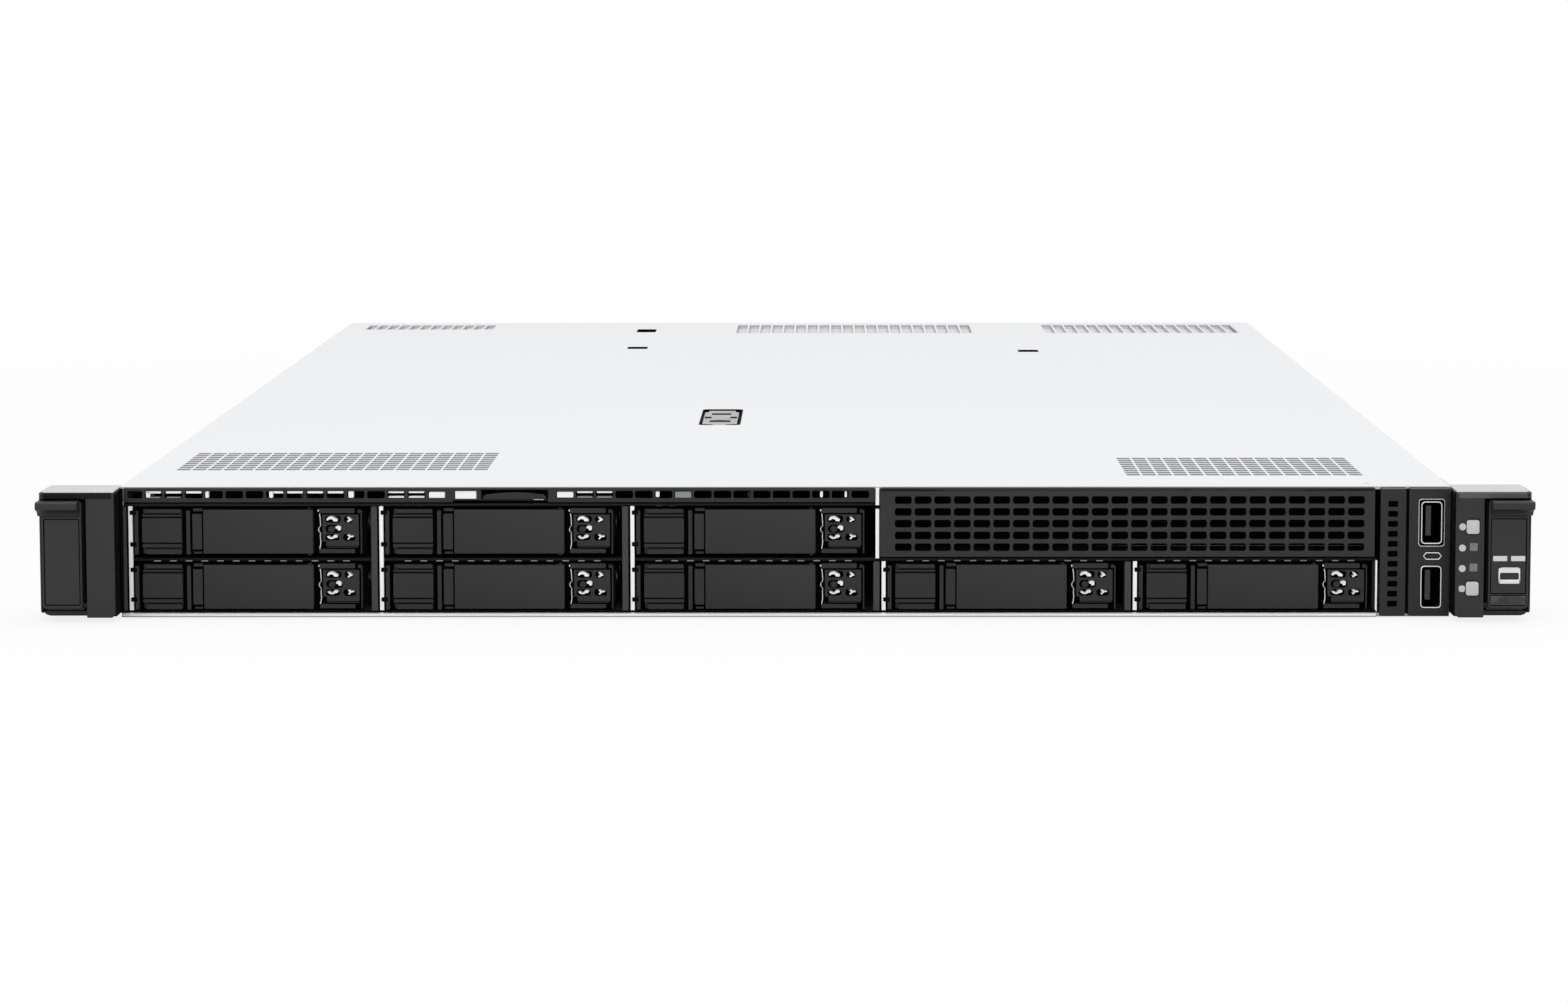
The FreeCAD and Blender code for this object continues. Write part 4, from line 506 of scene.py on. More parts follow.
# A merged copy of frame nodes, ready for rounding.
def fromFrame(*names):
    shape = Shape()
    for name in names:
        part = bmesh.new()
        part.from_mesh(nodes[name].data)
        bmesh.ops.remove_doubles(part, verts=part.verts, dist=1e-6)
        bmesh.ops.dissolve_limit(part, angle_limit=math.radians(1.2), verts=part.verts, edges=part.edges)
        mesh = bpy.data.meshes.new(name)
        part.to_mesh(mesh)
        part.free()
        shape.add(mesh, Matrix.Scale(1 / mm, 4))
        bpy.data.meshes.remove(mesh)
    return shape


# A piece that keeps its node's own shape, with the edges rounded.
def dress(node, name, slotName, finish, edge, **others):
    make(fromFrame(node), name, slotName, finish, edge, node, **others)


# The two ends of a stretch on the left or the right side, in rising order.
def span(sign, near, far):
    return (near, far) if sign > 0 else (-far, -near)


def mirrored(outline, sign):
    return [(sign * across, up) for across, up in outline]


# Both covers share these sizes.
cover = {"side": 217.3, "top": 42.8, "gauge": 1.0, "frontEnd": 139.8, "panelStart": 140.2,
         "cell": (4.5, 5.3), "pitch": (5.3, 6.7), "rows": 9, "corner": 0.5, "hole": (191.0, 1.0, 0.9),
         "fields": ((-206.2, 44.5, 20), (114.0, 26.0, 15)), "skirt": (215.0, 215.8, 40.2),
         "crease": (76.0, 113.2, 200.0, 113.6), "creaseDepth": 0.3}
under = cover["top"] - cover["gauge"]  # underside of the covers


# A cover sheet with its holes and its turned-down sides.
def coverSheet(start, end, holes):
    outline = ring(-cover["side"], start, cover["side"], end, 0.6)
    shape = Shape().lay([outline, *holes], cover["gauge"], under)
    near, far, low = cover["skirt"]
    for sign in (-1, 1):
        left, right = span(sign, near, far)
        shape.slab(ring(left, start + 24, right, end - 3), low, under, "z")
    return shape


def frontCover():
    width, length = cover["cell"]
    holes = [disc(*cover["hole"], 12), ring(*cover["crease"])]
    for left, front, columns in cover["fields"]:
        cell = ring(left, front, left + width, front + length, cover["corner"], 1)
        holes.append(cells(cell, columns, cover["rows"], *cover["pitch"]))
    shape = coverSheet(bezelBack, cover["frontEnd"], holes)
    left, front, right, back = cover["crease"]
    bottom = cover["top"] - cover["creaseDepth"]
    shape.block((left - 1, front - 1, under - 0.2), (right + 1, back + 1, bottom))
    make(shape, "frontCover", "cover_metal", "coverMetalWallShade", 0.1, "front_cover")


panel = {"latch": (-34.0, 207.0, -18.5, 273.0), "ventEnd": 724.0, "web": 1.0, "drop": 1.6, "margin": 2.0,
         "wall": 0.6, "catches": ((-76.4, 677.0, -67.4, 697.0), (-76.4, 575.0, -67.4, 588.0),
                                  (99.3, 556.0, 108.3, 569.0)),
         "vents": ((-206.6, 4.15, 696.0, 12), (-29.0, 4.6, 671.0, 20), (116.8, 4.4, 671.0, 17))}


def accessPanel():
    holes = [ring(*panel["latch"], 2.2)] + [ring(*catch, 0.6, 2) for catch in panel["catches"]]
    liner, hooks = Shape(), Shape()
    low, middle, margin = under - panel["drop"], under - panel["drop"] / 2, panel["margin"]
    end, wallEnd = panel["ventEnd"], panel["ventEnd"] + panel["wall"]
    for left, width, front, count in panel["vents"]:
        pitch = width + panel["web"]
        holes.append(cells(ring(left, front, left + width, end, 0.5, 1), count, 1, pitch, 0))
        right = left + count * pitch + margin
        liner.block((left - margin, front - margin, low), (right, wallEnd, middle))
        liner.block((left - margin, end + 0.05, middle), (right, wallEnd, under))
    for catch in panel["catches"]:
        left, front, right, back = catch
        hooks.lay([inset(catch, 0.05, 0.55, 2), inset(catch, 0.5, 0.3, 2)], 1.8, under - 0.85)
        hooks.block((left + 0.1, front + 0.1, under - 0.85), (right - 0.1, back - 0.1, under - 0.2))
    shape = coverSheet(cover["panelStart"], rearFace, holes)
    make(shape, "accessPanel", "cover_metal", "coverMetalWallShade", 0.1, "access_panel", body="access_panel")
    make(liner, "ventLiners", "chassis_metal", "ventShade", 0.1, body="access_panel")
    make(hooks, "catchWells", "black_plastic", "deepBlack", 0.08, body="access_panel")


latch = {"left": -33.0, "right": -19.9, "front": 207.9, "end": 270.6, "neck": 263.8, "top": 42.35,
         "low": 38.9, "well": (-36.0, 204.6, -16.5, 275.4), "wellHole": (-34.5, 206.2, -18.0, 273.8),
         "floor": 34.0, "pivot": 269.5, "pivotRadius": 1.2,
         "bars": ((-3.8, 253.4, 3.7, 259.8), (-6.2, 238.6, -3.5, 245.4), (3.5, 238.6, 6.2, 245.4)),
         "thumb": ((-4.0, 16.0), (4.0, 16.0), (4.0, 22.0), (0.0, 23.6), (-4.0, 22.0)),
         "corner": ((1.7, -0.05), (4.0, 0.25), (6.6, 1.5), (6.6, 7.6), (2.6, 6.4))}


def coverLatch():
    floor = latch["floor"]
    well = Shape().lay([ring(*latch["well"], 2.5), ring(*latch["wellHole"], 2.2)], 7.8, floor)
    well.pad(latch["well"], 2.5, 3, floor - 0.01, floor + 1.0, "z")
    left, front, right, back = panel["latch"]
    rim = ring(left + 0.6, front + 0.5, right - 0.7, back - 0.3, 1.7)
    well.lay([inset(panel["latch"], 0.05, 2.1), rim], 1.2, 41.55)
    # the well is made near black as painted shade inside it
    make(well, "coverLatchWell", "grey_plastic", "deepBlack", 0.08, "cover_latch_base", body="access_panel")
    left, right, front, end, neck, low, top = pick(latch, "left right front end neck low top")
    middle = (left + right) / 2
    bow = [(left, front + 1.6), (middle - 4, front + 0.3), (middle, front), (middle + 4, front + 0.3),
           (right, front + 1.6), (right, neck), (right - 1.4, neck + 1.2), (right - 1.4, end),
           (left + 1.4, end), (left + 1.4, neck + 1.2), (left, neck)]
    lever = Shape().slab(bow, low, top, "z")
    lever.pad((left, front + 8, right, end + 0.9), 1.0, 3, low - 0.95, low + 2.0, "z")
    lever.slab(disc(latch["pivot"], low, latch["pivotRadius"], 24), left - 1.0, right + 1.0, "x")
    ridge = Shape().pad((left + 2.2, 0, right - 2.2, 0.8), 0.35, 2, 0, 0.3, "z").toMesh()
    lever.row(ridge, (0, front + 25.5, top - 0.22), 3, 1, (0, 2.2, 0))
    make(lever, "coverLatchLever", "grey_plastic", "latchGrey", 0.2, "cover_latch_lever", segments=2,
         body="cover_latch")
    # painted shade: dark pads standing in for the shadow in the finger hollow, the slots and the corners
    # beside the thumb tab
    hollowShade = Shape()
    outlines = [ring(middle + near, start, middle + far, back, 0.6)
                for near, start, far, back in latch["bars"]]
    outlines.append([(middle + across, front + along) for across, along in latch["thumb"]])
    for sign in (-1, 1):
        outlines.append([(middle + sign * across, front + along) for across, along in latch["corner"]])
    for outline in outlines:
        hollowShade.slab(outline, top - 0.5, top + 0.03, "z")
    make(hollowShade, "coverLatchShadePad", "grey_plastic", "deepBlack", 0.06, body="cover_latch")


tray = {"rivetRows": ((40.0, 36.5), (62.0, 6.0)), "rivets": 9, "pitch": 78.0, "rivet": 2.0, "proud": 0.5}
lip = {"left": -217.2, "right": 193.3, "lead": -10.0, "face": 0.42, "shoulder": -9.0, "high": 1.55,
       "back": -7.6}


def trayAndSides():
    pan = fromFrame("chassis_tray")
    for corner in pan.bm.verts:  # the pan's upturned front edge makes room for the lip
        if corner.co.y < lip["lead"] + 0.5 and corner.co.z > 0.9:
            corner.co.y = lip["shoulder"] + 0.1
    make(pan, "chassisTray", "chassis_metal", "traySteel", 0.2, "chassis_tray", segments=2)
    lead, face, shoulder, high, back = pick(lip, "lead face shoulder high back")
    outline = [(lead, 0.04), (lead, face), (shoulder, high), (back, high), (back, 0.04)]
    edge = Shape().slab(outline, lip["left"], lip["right"], "x")
    # near-white lip, with painted contact shade along its bottom band
    make(edge, "trayLip", "chassis_metal", "lipMetalContactShade", 0.12, segments=2)
    rivets = Shape()
    row = gridOf(rivetLook(tray["rivet"], tray["proud"]), tray["rivets"], 1, (0, tray["pitch"], 0))
    side = cover["side"] - 0.02
    for along, up in tray["rivetRows"]:
        rivets.add(row, Matrix.Translation((side, along, up)))
        rivets.add(row, Matrix.Translation((-side, along, up)) @ Matrix.Rotation(math.pi, 4, "Y"))
    make(rivets, "sideRivets", "chassis_metal", "screwMetal", 0)
    dress("fasteners", "studsAndStandoffs", "carrier_metal", "screwMetal", 0.25, segments=2)


bays = {"start": -216.6, "pitch": 82.1, "rise": 18.2, "post": (-0.7, 1.4), "strip": (2.05, 3.35),
        "firstPost": 0.2, "tops": (36.5, 36.5, 36.5, 18.3, 18.3), "clips": (34.4, 24.0, 15.6, 5.8),
        "clipHalf": 0.7, "tab": (2.2, 2.0, 0.4), "tabStart": 10.2}
# Columns and rows of the eight drives, in the order of their numbers.
places = [(column, row) for row in range(2) for column in range(5) if row == 0 or column < 3]


def columnEdge(column):
    return bays["start"] + bays["pitch"] * column


def driveCage():
    # the cage is made near black: painted shade between the bays
    dress("drive_cage", "driveCage", "chassis_metal", "cageSteelShade", 0.12)
    strips, clips, posts, tabs = Shape(), Shape(), Shape(), Shape()
    front = bezelFace + 0.4
    tab = Shape().block((0, 0, 0), bays["tab"]).toMesh()
    for column, top in enumerate(bays["tops"]):
        edge = columnEdge(column)
        left, right = edge + bays["strip"][0], edge + bays["strip"][1]
        strips.block((left, front, 1.4), (right, front + 1.6, top))
        for up in bays["clips"]:
            if up < top:
                clips.block((left + 0.5, front - 0.25, up - bays["clipHalf"]),
                            (right + 1.3, front + 1.0, up + bays["clipHalf"]))
        left = bays["post"][0] if column else bays["firstPost"]
        posts.pad((edge + left, 1.5, edge + bays["post"][1], top), 0.2, 1, front - 0.1, front + 30)
        tabs.row(tab, (edge + bays["tabStart"], front + 0.7, 18.25), 13, 1, (5.16, 0, 0))
        if column < 3:
            tabs.row(tab, (edge + bays["tabStart"], front + 0.9, 36.45), 2, 1, (4.6, 0, 0))
    strips.block((29.75, front, 19.3), (30.95, front + 1.6, 42.3))
    strips.block((192.95, front, 1.7), (193.55, front + 1.6, 18.6))
    clips.block((29.6, front - 0.2, 35.6), (31.1, front + 1.0, 36.8))
    # a dark strip over the tray side's front edge as painted shade
    clips.block((-cover["side"], front - 0.55, 1.4), (-cover["side"] + 0.95, front + 1.0, 42.3))
    # a dark band above the lip as painted shade under the lowest drives
    left, right, lead, high = pick(lip, "left right lead high")
    clips.block((left + 0.9, lead + 0.3, high - 0.1), (right, lead + 1.2, 2.3))
    # the white strips get a painted glow
    make(strips, "bayStrips", "chassis_metal", "brightPlastic", 0.1)
    make(clips, "bayClipsAndShade", "black_plastic", "deepBlack", 0.15)
    make(posts, "bayPosts", "black_plastic", "postPlastic", 0.2)
    make(tabs, "shelfTabs", "chassis_metal", "shelfMetal", 0.08)
    dress("drive_backplane", "driveBackplane", "board", "solderMask", 0.1)


# A drive's face, measured from its column's edge. Each pad is a box, a corner radius with its steps,
# and how far forward it stands.
drive = {
    "pads": ((4.0, 2.45, 5.3, 16.9, 0.15, 1, 9.6), (20.95, 2.45, 22.3, 16.9, 0.15, 1, 9.6),
             (78.0, 2.6, 78.5, 17.1, 0.15, 1, 9.6), (23.0, 4.1, 26.15, 15.8, 0.3, 2, 9.85),
             (23.2, 16.6, 26.4, 17.6, 0.2, 1, 9.2), (23.3, 2.6, 26.1, 3.4, 0.2, 1, 9.2),
             (64.4, 15.95, 76.1, 17.6, 0.2, 1, 9.3), (64.4, 2.8, 76.1, 4.25, 0.2, 1, 9.3),
             (76.9, 15.95, 78.2, 17.2, 0.2, 1, 8.9)),
    "step": (66.9, 4.5, 77.2, 5.1), "sensor": (68.5, 10.7, 1.15, 16), "back": -4.5,
    "lampPlate": ((65.6, 6.75), (66.75, 6.75), (66.75, 5.2), (77.5, 5.2), (77.5, 15.55), (65.6, 15.55)),
    "windows": ((66.45, 12.9, 71.6, 15.2, 0.9), (72.65, 12.85, 75.6, 15.1, 1.0),
                (66.6, 9.55, 72.1, 12.2, 1.3), (66.45, 7.0, 71.05, 9.2, 0.9), (72.3, 6.9, 76.35, 9.25, 1.0)),
    "floorPlate": (3.8, 1.95, 78.5, 17.85), "stem": (10.3, 7.15, 15.8, 12.65),
    "rails": ((3.7, 6.1), (76.15, 78.55)),
    "body": ((6.3, 2.2, 75.95, 96.2, 2.5, 4, 4.3, 16.0), (10.0, 6.0, 72.0, 91.0, 2.0, 3, 15.9, 16.5),
             (14.0, 30.0, 52.0, 80.0, 6.0, 5, 16.4, 16.7)),
}

# White light guides behind the windows, as outlines across and up.
guides = (
    ((66.8, 13.8), (67.3, 14.7), (68.6, 15.15), (69.5, 14.6), (70.6, 13.9), (70.4, 13.25), (69.2, 13.3),
     (68.8, 13.95), (68.0, 14.05), (67.2, 13.5)),
    ((73.5, 14.8), (74.0, 14.75), (74.6, 14.5), (75.4, 13.7), (74.6, 13.4), (73.9, 12.95), (73.5, 13.3),
     (74.2, 13.9)),
    ((69.8, 11.6), (70.8, 12.0), (71.6, 11.7), (71.6, 10.5), (70.8, 10.2), (70.4, 10.9), (69.8, 11.0)),
    ((66.9, 8.3), (67.6, 8.5), (68.2, 8.0), (68.9, 8.1), (69.1, 8.7), (70.0, 9.0), (70.6, 8.5), (70.3, 7.95),
     (69.5, 7.85), (68.9, 7.5), (68.0, 7.5), (67.4, 7.8)),
    ((73.5, 8.9), (74.3, 9.05), (74.8, 8.5), (75.4, 8.75), (75.9, 8.2), (75.0, 8.1), (74.5, 7.85),
     (74.1, 7.3), (73.6, 7.5), (74.2, 8.2)),
)
# The thin bright contact strip beside the lamps, from top to bottom.
contactLine = ((64.55, 15.8), (64.75, 14.6), (64.85, 13.0), (64.9, 11.7), (64.4, 11.3), (64.2, 10.5),
               (64.45, 9.8), (64.85, 9.5), (64.8, 8.0), (64.9, 6.4), (64.75, 5.2), (64.5, 4.2))


def driveFace():
    shape = Shape().pads(drive["pads"], drive["back"])
    left, low, right, high = drive["step"]
    shape.loft([ring(left, low + 0.25, right, high), ring(*drive["step"])], (-9.6, bezelBack))
    shape.stand([drive["lampPlate"]] + [ring(*window) for window in drive["windows"]], 1.3, -8.6)
    return shape.slab(disc(*drive["sensor"]), -9.5, -6.0)


# The dark bulkhead behind the face, open for the button's stem and the air.
def driveBulkhead():
    vents = [ring(29.5 + 11 * i, 5.7, 38.5 + 11 * i, 14.2, 0.6, 2) for i in range(3)]
    return Shape().stand([ring(*drive["floorPlate"]), ring(*drive["stem"]), *vents], 1.5, -3.0)


def guideBits():
    shape = Shape()
    for outline in guides:
        shape.slab(outline, -9.45, -6.5)
    half = 0.13
    loop = [(across - half, up) for across, up in contactLine]
    loop += [(across + half, up) for across, up in reversed(contactLine)]
    return shape.stand([loop], 0.8, -8.2).slab(ring(64.0, 16.5, 64.45, 17.1), -9.0, -8.0)


# Side rails with lightening holes, and the drive between them with its lid, screws and rear socket.
def driveMetalwork():
    shape = Shape()
    rail = [ring(-3.0, 1.9, 96.0, 17.9, 1.0, 2)]
    rail += [ring(8 + 22 * i, 6.5, 22 + 22 * i, 13.3, 3.0, 4) for i in range(4)]
    for left, right in drive["rails"]:
        turn = Matrix(((0, 0, 1, left), (1, 0, 0, 0), (0, 1, 0, 0), (0, 0, 0, 1)))
        shape.add(sheetOf(rail, right - left), turn)
    for *box, radius, steps, low, high in drive["body"]:
        shape.pad(box, radius, steps, low, high, "z")
    for across in (8.2, 74.0):
        shape.row(screwLook(1.5, 0.35), (across, 7.0, 15.95), 1, 3, (0, 0, 0), (0, 42.0, 0))
    for left in (8.0, 63.0):
        shape.block((left, 96.0, 5.0), (left + 11, 102.2, 15.0))
    return shape


button = {"plate": (6.6, 2.5, 19.5, 17.3, 0.3, 1, 7.6),
          "ridges": ((7.6, 16.0, 19.4, 17.3, 0.2, 1, 9.4), (6.5, 14.95, 19.6, 15.55, 0.2, 1, 9.8),
                     (6.5, 6.4, 19.6, 14.4, 0.2, 1, 10.0), (6.5, 4.8, 19.6, 5.9, 0.2, 1, 9.8),
                     (7.6, 2.5, 19.4, 4.25, 0.2, 1, 9.4)), "stem": (10.55, 7.4, 15.55, 12.4, 0.4, 1, 6.6)}


def releaseButton():
    return Shape().pads([button["plate"]], -6.5).pads(button["ridges"], -7.0).pads([button["stem"]], -3.3)


def ejectorLever():
    shape = fromFrame("ejector_lever_1").toMesh()
    shape.transform(Matrix.Translation((-bays["start"], 0, 0)))
    return Shape().add(shape)


# Each look is built once and copied to the eight places; the last two columns are its body and its node.
def drives():
    looks = (
        (driveFace, "driveFace", 0.12, 1, "black_plastic", "blackPlastic", "drive", ""),
        (driveMetalwork, "driveMetal", 0.25, 1, "carrier_metal", "driveMetal", "drive", "drive_carrier"),
        (driveBulkhead, "driveBulkhead", 0.1, 1, "black_plastic", "deepBlack", "drive", ""),
        # the light guides get a painted glow
        (guideBits, "driveGuides", 0.1, 1, "lens", "brightPlastic", "drive", ""),
        (ejectorLever, "ejectorLever", 0.35, 3, "lever_grey", "leverPaint", "ejector", "ejector_lever"),
        (releaseButton, "releaseButton", 0.13, 2, "lever_grey", "blackPlastic", "button", "release_button"),
    )
    meshes = [finished(build(), name, edge, segments) for build, name, edge, segments, *_ in looks]
    for number, (column, row) in enumerate(places, 1):
        shift = Matrix.Translation((columnEdge(column) * mm, 0, row * bays["rise"] * mm))
        for mesh, (_, name, _, _, slotName, finish, body, node) in zip(meshes, looks):
            copy = mesh.copy()
            copy.transform(shift)
            replaced = [f"{node}_{number}"] if node else []
            settle(copy, f"{name}{number}", f"{body}_{number}", finish, replaced)


# The strip of vents over the drives. A bank is a row of slots: where it starts, its pitch and how many.
# A light or bracket is a bank, its first slot and how many, two ends from the slot's start, and two heights.
# A bar is a box and how far forward it stands.
strip = {"left": -216.0, "right": 29.6, "low": 37.8, "high": 42.5, "gauge": 1.6, "slotLow": 39.15,
         "slotHigh": 41.55, "firstSlot": (-214.6, -209.9), "slotWidth": 5.7,
         "banks": ((-209.05, 6.62, 15), (-74.4, 6.42, 16)), "recess": (-99.0, -77.2),
         "window": (-107.6, 38.9, -100.5, 41.6), "ribs": (-208.0, -158.0, -70.0, -12.0, 20.0),
         "lights": ((0, 0, 3, 0.35, 5.35, 40.75, 41.5), (0, 7, 3, 0.3, 5.4, 40.75, 41.5),
                    (0, 12, 2, 0.3, 5.4, 40.85, 41.4), (0, 12, 2, 0.3, 5.4, 39.3, 39.75),
                    (0, 14, 1, 0.3, 5.5, 39.25, 41.2), (1, 0, 1, 0.2, 5.5, 39.35, 41.2),
                    (1, 1, 2, 0.3, 5.4, 40.85, 41.4), (1, 5, 1, 0.3, 1.5, 39.5, 41.3),
                    (1, 13, 1, 2.6, 3.5, 39.4, 41.3), (1, 14, 1, 4.2, 4.9, 39.4, 41.3)),
         "brackets": ((0, 0, 2, 0.5, 5.2, 39.2, 39.55), (1, 1, 2, 0.3, 5.4, 39.25, 39.7),
                      (1, 6, 1, 0.2, 5.5, 39.25, 41.3)),
         "bars": ((-208.6, 39.3, -207.3, 41.45, 9.7), (-189.4, 39.3, -188.1, 41.45, 9.7),
                  (-168.3, 39.3, -167.1, 41.45, 9.7), (-142.4, 39.3, -140.7, 41.45, 9.7),
                  (-166.9, 40.75, -163.6, 41.5, 9.7), (-107.5, 38.95, -100.6, 41.5, 9.7),
                  (-82.0, 38.55, -78.6, 38.9, 9.2))}


def ventStrip():
    left, right, low, high, slotLow, slotHigh = pick(strip, "left right low high slotLow slotHigh")
    recess, recessEnd = strip["recess"]
    step = strip["window"][0] - 0.6
    outline = [(left, low), (step, low), (step, 38.5), (recess, 38.5), (recess, 41.9), (recessEnd, 41.9),
               (recessEnd, low), (right, low), (right, high), (left, high)]
    first, firstEnd = strip["firstSlot"]
    loops = [outline, ring(first, slotLow, firstEnd, slotHigh, 0.6), ring(*strip["window"], 0.2, 1)]
    for start, pitch, count in strip["banks"]:
        slot = ring(start, slotLow, start + strip["slotWidth"], slotHigh, 0.6)
        loops.append(cells(slot, count, 1, pitch, 0))
    shape = Shape().stand(loops, strip["gauge"], bezelBack)
    shape.block((left, bezelBack, 38.2), (right, -4.5, 38.7))
    for across in strip["ribs"]:
        shape.block((across, bezelBack, 37.8), (across + 2.0, 6.0, 41.0))
    for side in (recess - 2.0, recessEnd):
        shape.block((side, bezelBack, 38.5), (side + 2.0, 60.0, 41.3))
    shape.block((recess, -6.0, 37.8), (recessEnd, 60.0, 38.35))
    make(shape, "ventStrip", "black_plastic", "blackPlastic", 0.14, "vent_strip")


# Bright light guides with a painted glow, and paler brackets that show through the slots.
def stripBits():
    kinds = (("stripLights", "lens", "brightPlastic", strip["lights"], strip["bars"]),
             ("stripBrackets", "grey_plastic", "greyPlastic", strip["brackets"], ()))
    for name, slotName, finish, rows, bars in kinds:
        boxes = list(bars)
        for bank, first, count, near, far, low, high in rows:
            start, pitch, _ = strip["banks"][bank]
            slots = [start + pitch * i for i in range(first, first + count)]
            boxes += [(slot + near, low, slot + far, high, 9.7) for slot in slots]
        shape = Shape().pads([(*box, 0.12, 1, lead) for *box, lead in boxes], -7.2)
        make(shape, name, slotName, finish, 0.08)


tab = {"left": -98.7, "right": -77.5, "low": 38.75, "crown": ((-84.0, 41.0), (-88.1, 41.15), (-92.0, 41.0))}


def pullTab():
    left, right, low = pick(tab, "left right low")
    shape = Shape().pad((left, -9.6, right, 60.0), 0.8, 2, low, 40.0, "z")
    brim = [(left + 1, low), (right - 1, low), (right - 1, 40.4), *tab["crown"], (left + 1, 40.4)]
    shape.slab(brim, -9.65, bezelBack)
    make(shape, "pullTab", "black_plastic", "blackPlastic", 0.3, "information_tab", segments=2, body="tab")


blank = {"face": (31.2, 19.8, 192.6, 42.5), "hole": (36.1, 21.75, 41.5, 24.2, 0.75), "pitch": (6.42, 3.87),
         "columns": 24, "rows": 5}


def mediaBlank():
    left, low, right, _ = blank["face"]
    holes = cells(ring(*blank["hole"]), blank["columns"], blank["rows"], *blank["pitch"])
    shape = Shape().stand([ring(*blank["face"], 0.3, 1), holes], 1.6, bezelBack)
    for box in ((left, low, left + 1, 37.8), (right - 1, low, right, 37.8), (left, low, right, low + 1)):
        shape.slab(ring(*box), -8.5, 20.0)
    brim = [ring(left + 0.4, 41.3, right - 0.4, top) for top in (42.2, 42.5)]
    shape.loft(brim, (bezelFace, -9.4))
    make(shape, "mediaBayBlank", "black_plastic", "leverPaint", 0.14, "media_bay_blank")
    # painted shade: dark screens behind the blank's holes and the port vents, and a dark fill in the groove
    # between the port panels
    shadeScreens = Shape().block((left + 1.2, 12.0, low + 1.2), (right - 1.2, 12.6, 41.0))
    groove, grooveEnd = port["groove"]
    shadeScreens.block((port["face"][0] + 0.6, -7.6, 1.4), (groove - 0.6, -7.1, 41.5))
    shadeScreens.block((groove - 0.3, -8.75, 1.0), (grooveEnd + 0.3, bezelBack, 42.0))
    make(shadeScreens, "ventShadeScreens", "black_plastic", "deepBlack", 0.1)


port = {"face": (194.4, 0.4, 216.9, 42.5), "vent": (196.9, 3.4, 200.05, 5.3, 0.35), "ventPitch": 3.28,
        "vents": 11, "groove": (202.75, 203.7), "usb": ((207.6, 2.9, 214.5, 16.9),
                                                        (207.6, 24.0, 214.5, 38.0)),
        "shroud": 0.85, "shroudGauge": 0.26, "serviceMiddle": (211.45, 20.05),
        "service": ((208.3, 20.05), (209.3, 18.8), (213.6, 18.8), (214.6, 20.05), (213.6, 21.3),
                    (209.3, 21.3))}


def portBezel():
    left, low, right, high = port["face"]
    groove, grooveEnd = port["groove"]
    vents = cells(ring(*port["vent"], 2), 1, port["vents"], 0, port["ventPitch"])
    shape = Shape().stand([ring(left, low, groove, high, 0.35, 2), vents], 1.6, bezelBack)
    holes = [inset(box, -0.05, 1.2, 4) for box in port["usb"]]
    shape.stand([ring(grooveEnd, low, right, high, 0.35, 2), *holes, port["service"]], 1.6, bezelBack)
    shape.block((groove - 0.5, -8.6, low + 0.5), (grooveEnd + 0.5, -7.7, high - 0.5))
    shape.stand([ring(204.2, 1.2, 216.0, 40.2)] + [inset(box, -0.2) for box in port["usb"]], 20.0, 11.7)
    make(shape, "portBezel", "black_plastic", "blackPlastic", 0.16, "port_bezel", segments=2)
    topHighlight = Shape()  # painted highlight: a paler strip along the top edge of both panels
    for near, far in ((left + 0.3, groove - 0.2), (grooveEnd + 0.2, right - 0.3)):
        topHighlight.block((near, -10.06, high - 0.45), (far, -9.9, high - 0.12))
    make(topHighlight, "portBezelHighlight", "black_plastic", "highlightPlastic", 0.03)


jack = {"left": 78.0, "low": 7.6, "pitch": 16.6, "count": 4, "width": 15.9, "height": 13.4,
        "mouth": ((1.7, 1.7), (14.2, 1.7), (14.2, 9.4), (10.6, 9.4), (10.6, 11.2), (5.3, 11.2), (5.3, 9.4),
                  (1.7, 9.4))}
display = {"box": (8.0, 7.6, 39.0, 20.1), "middle": (23.5, 13.6), "nuts": (10.6, 36.4),
           "rim": ((15.4, 17.6), (31.6, 17.6), (32.0, 17.0), (30.9, 10.2), (30.2, 9.6), (16.8, 9.6),
                   (16.1, 10.2), (15.0, 17.0))}


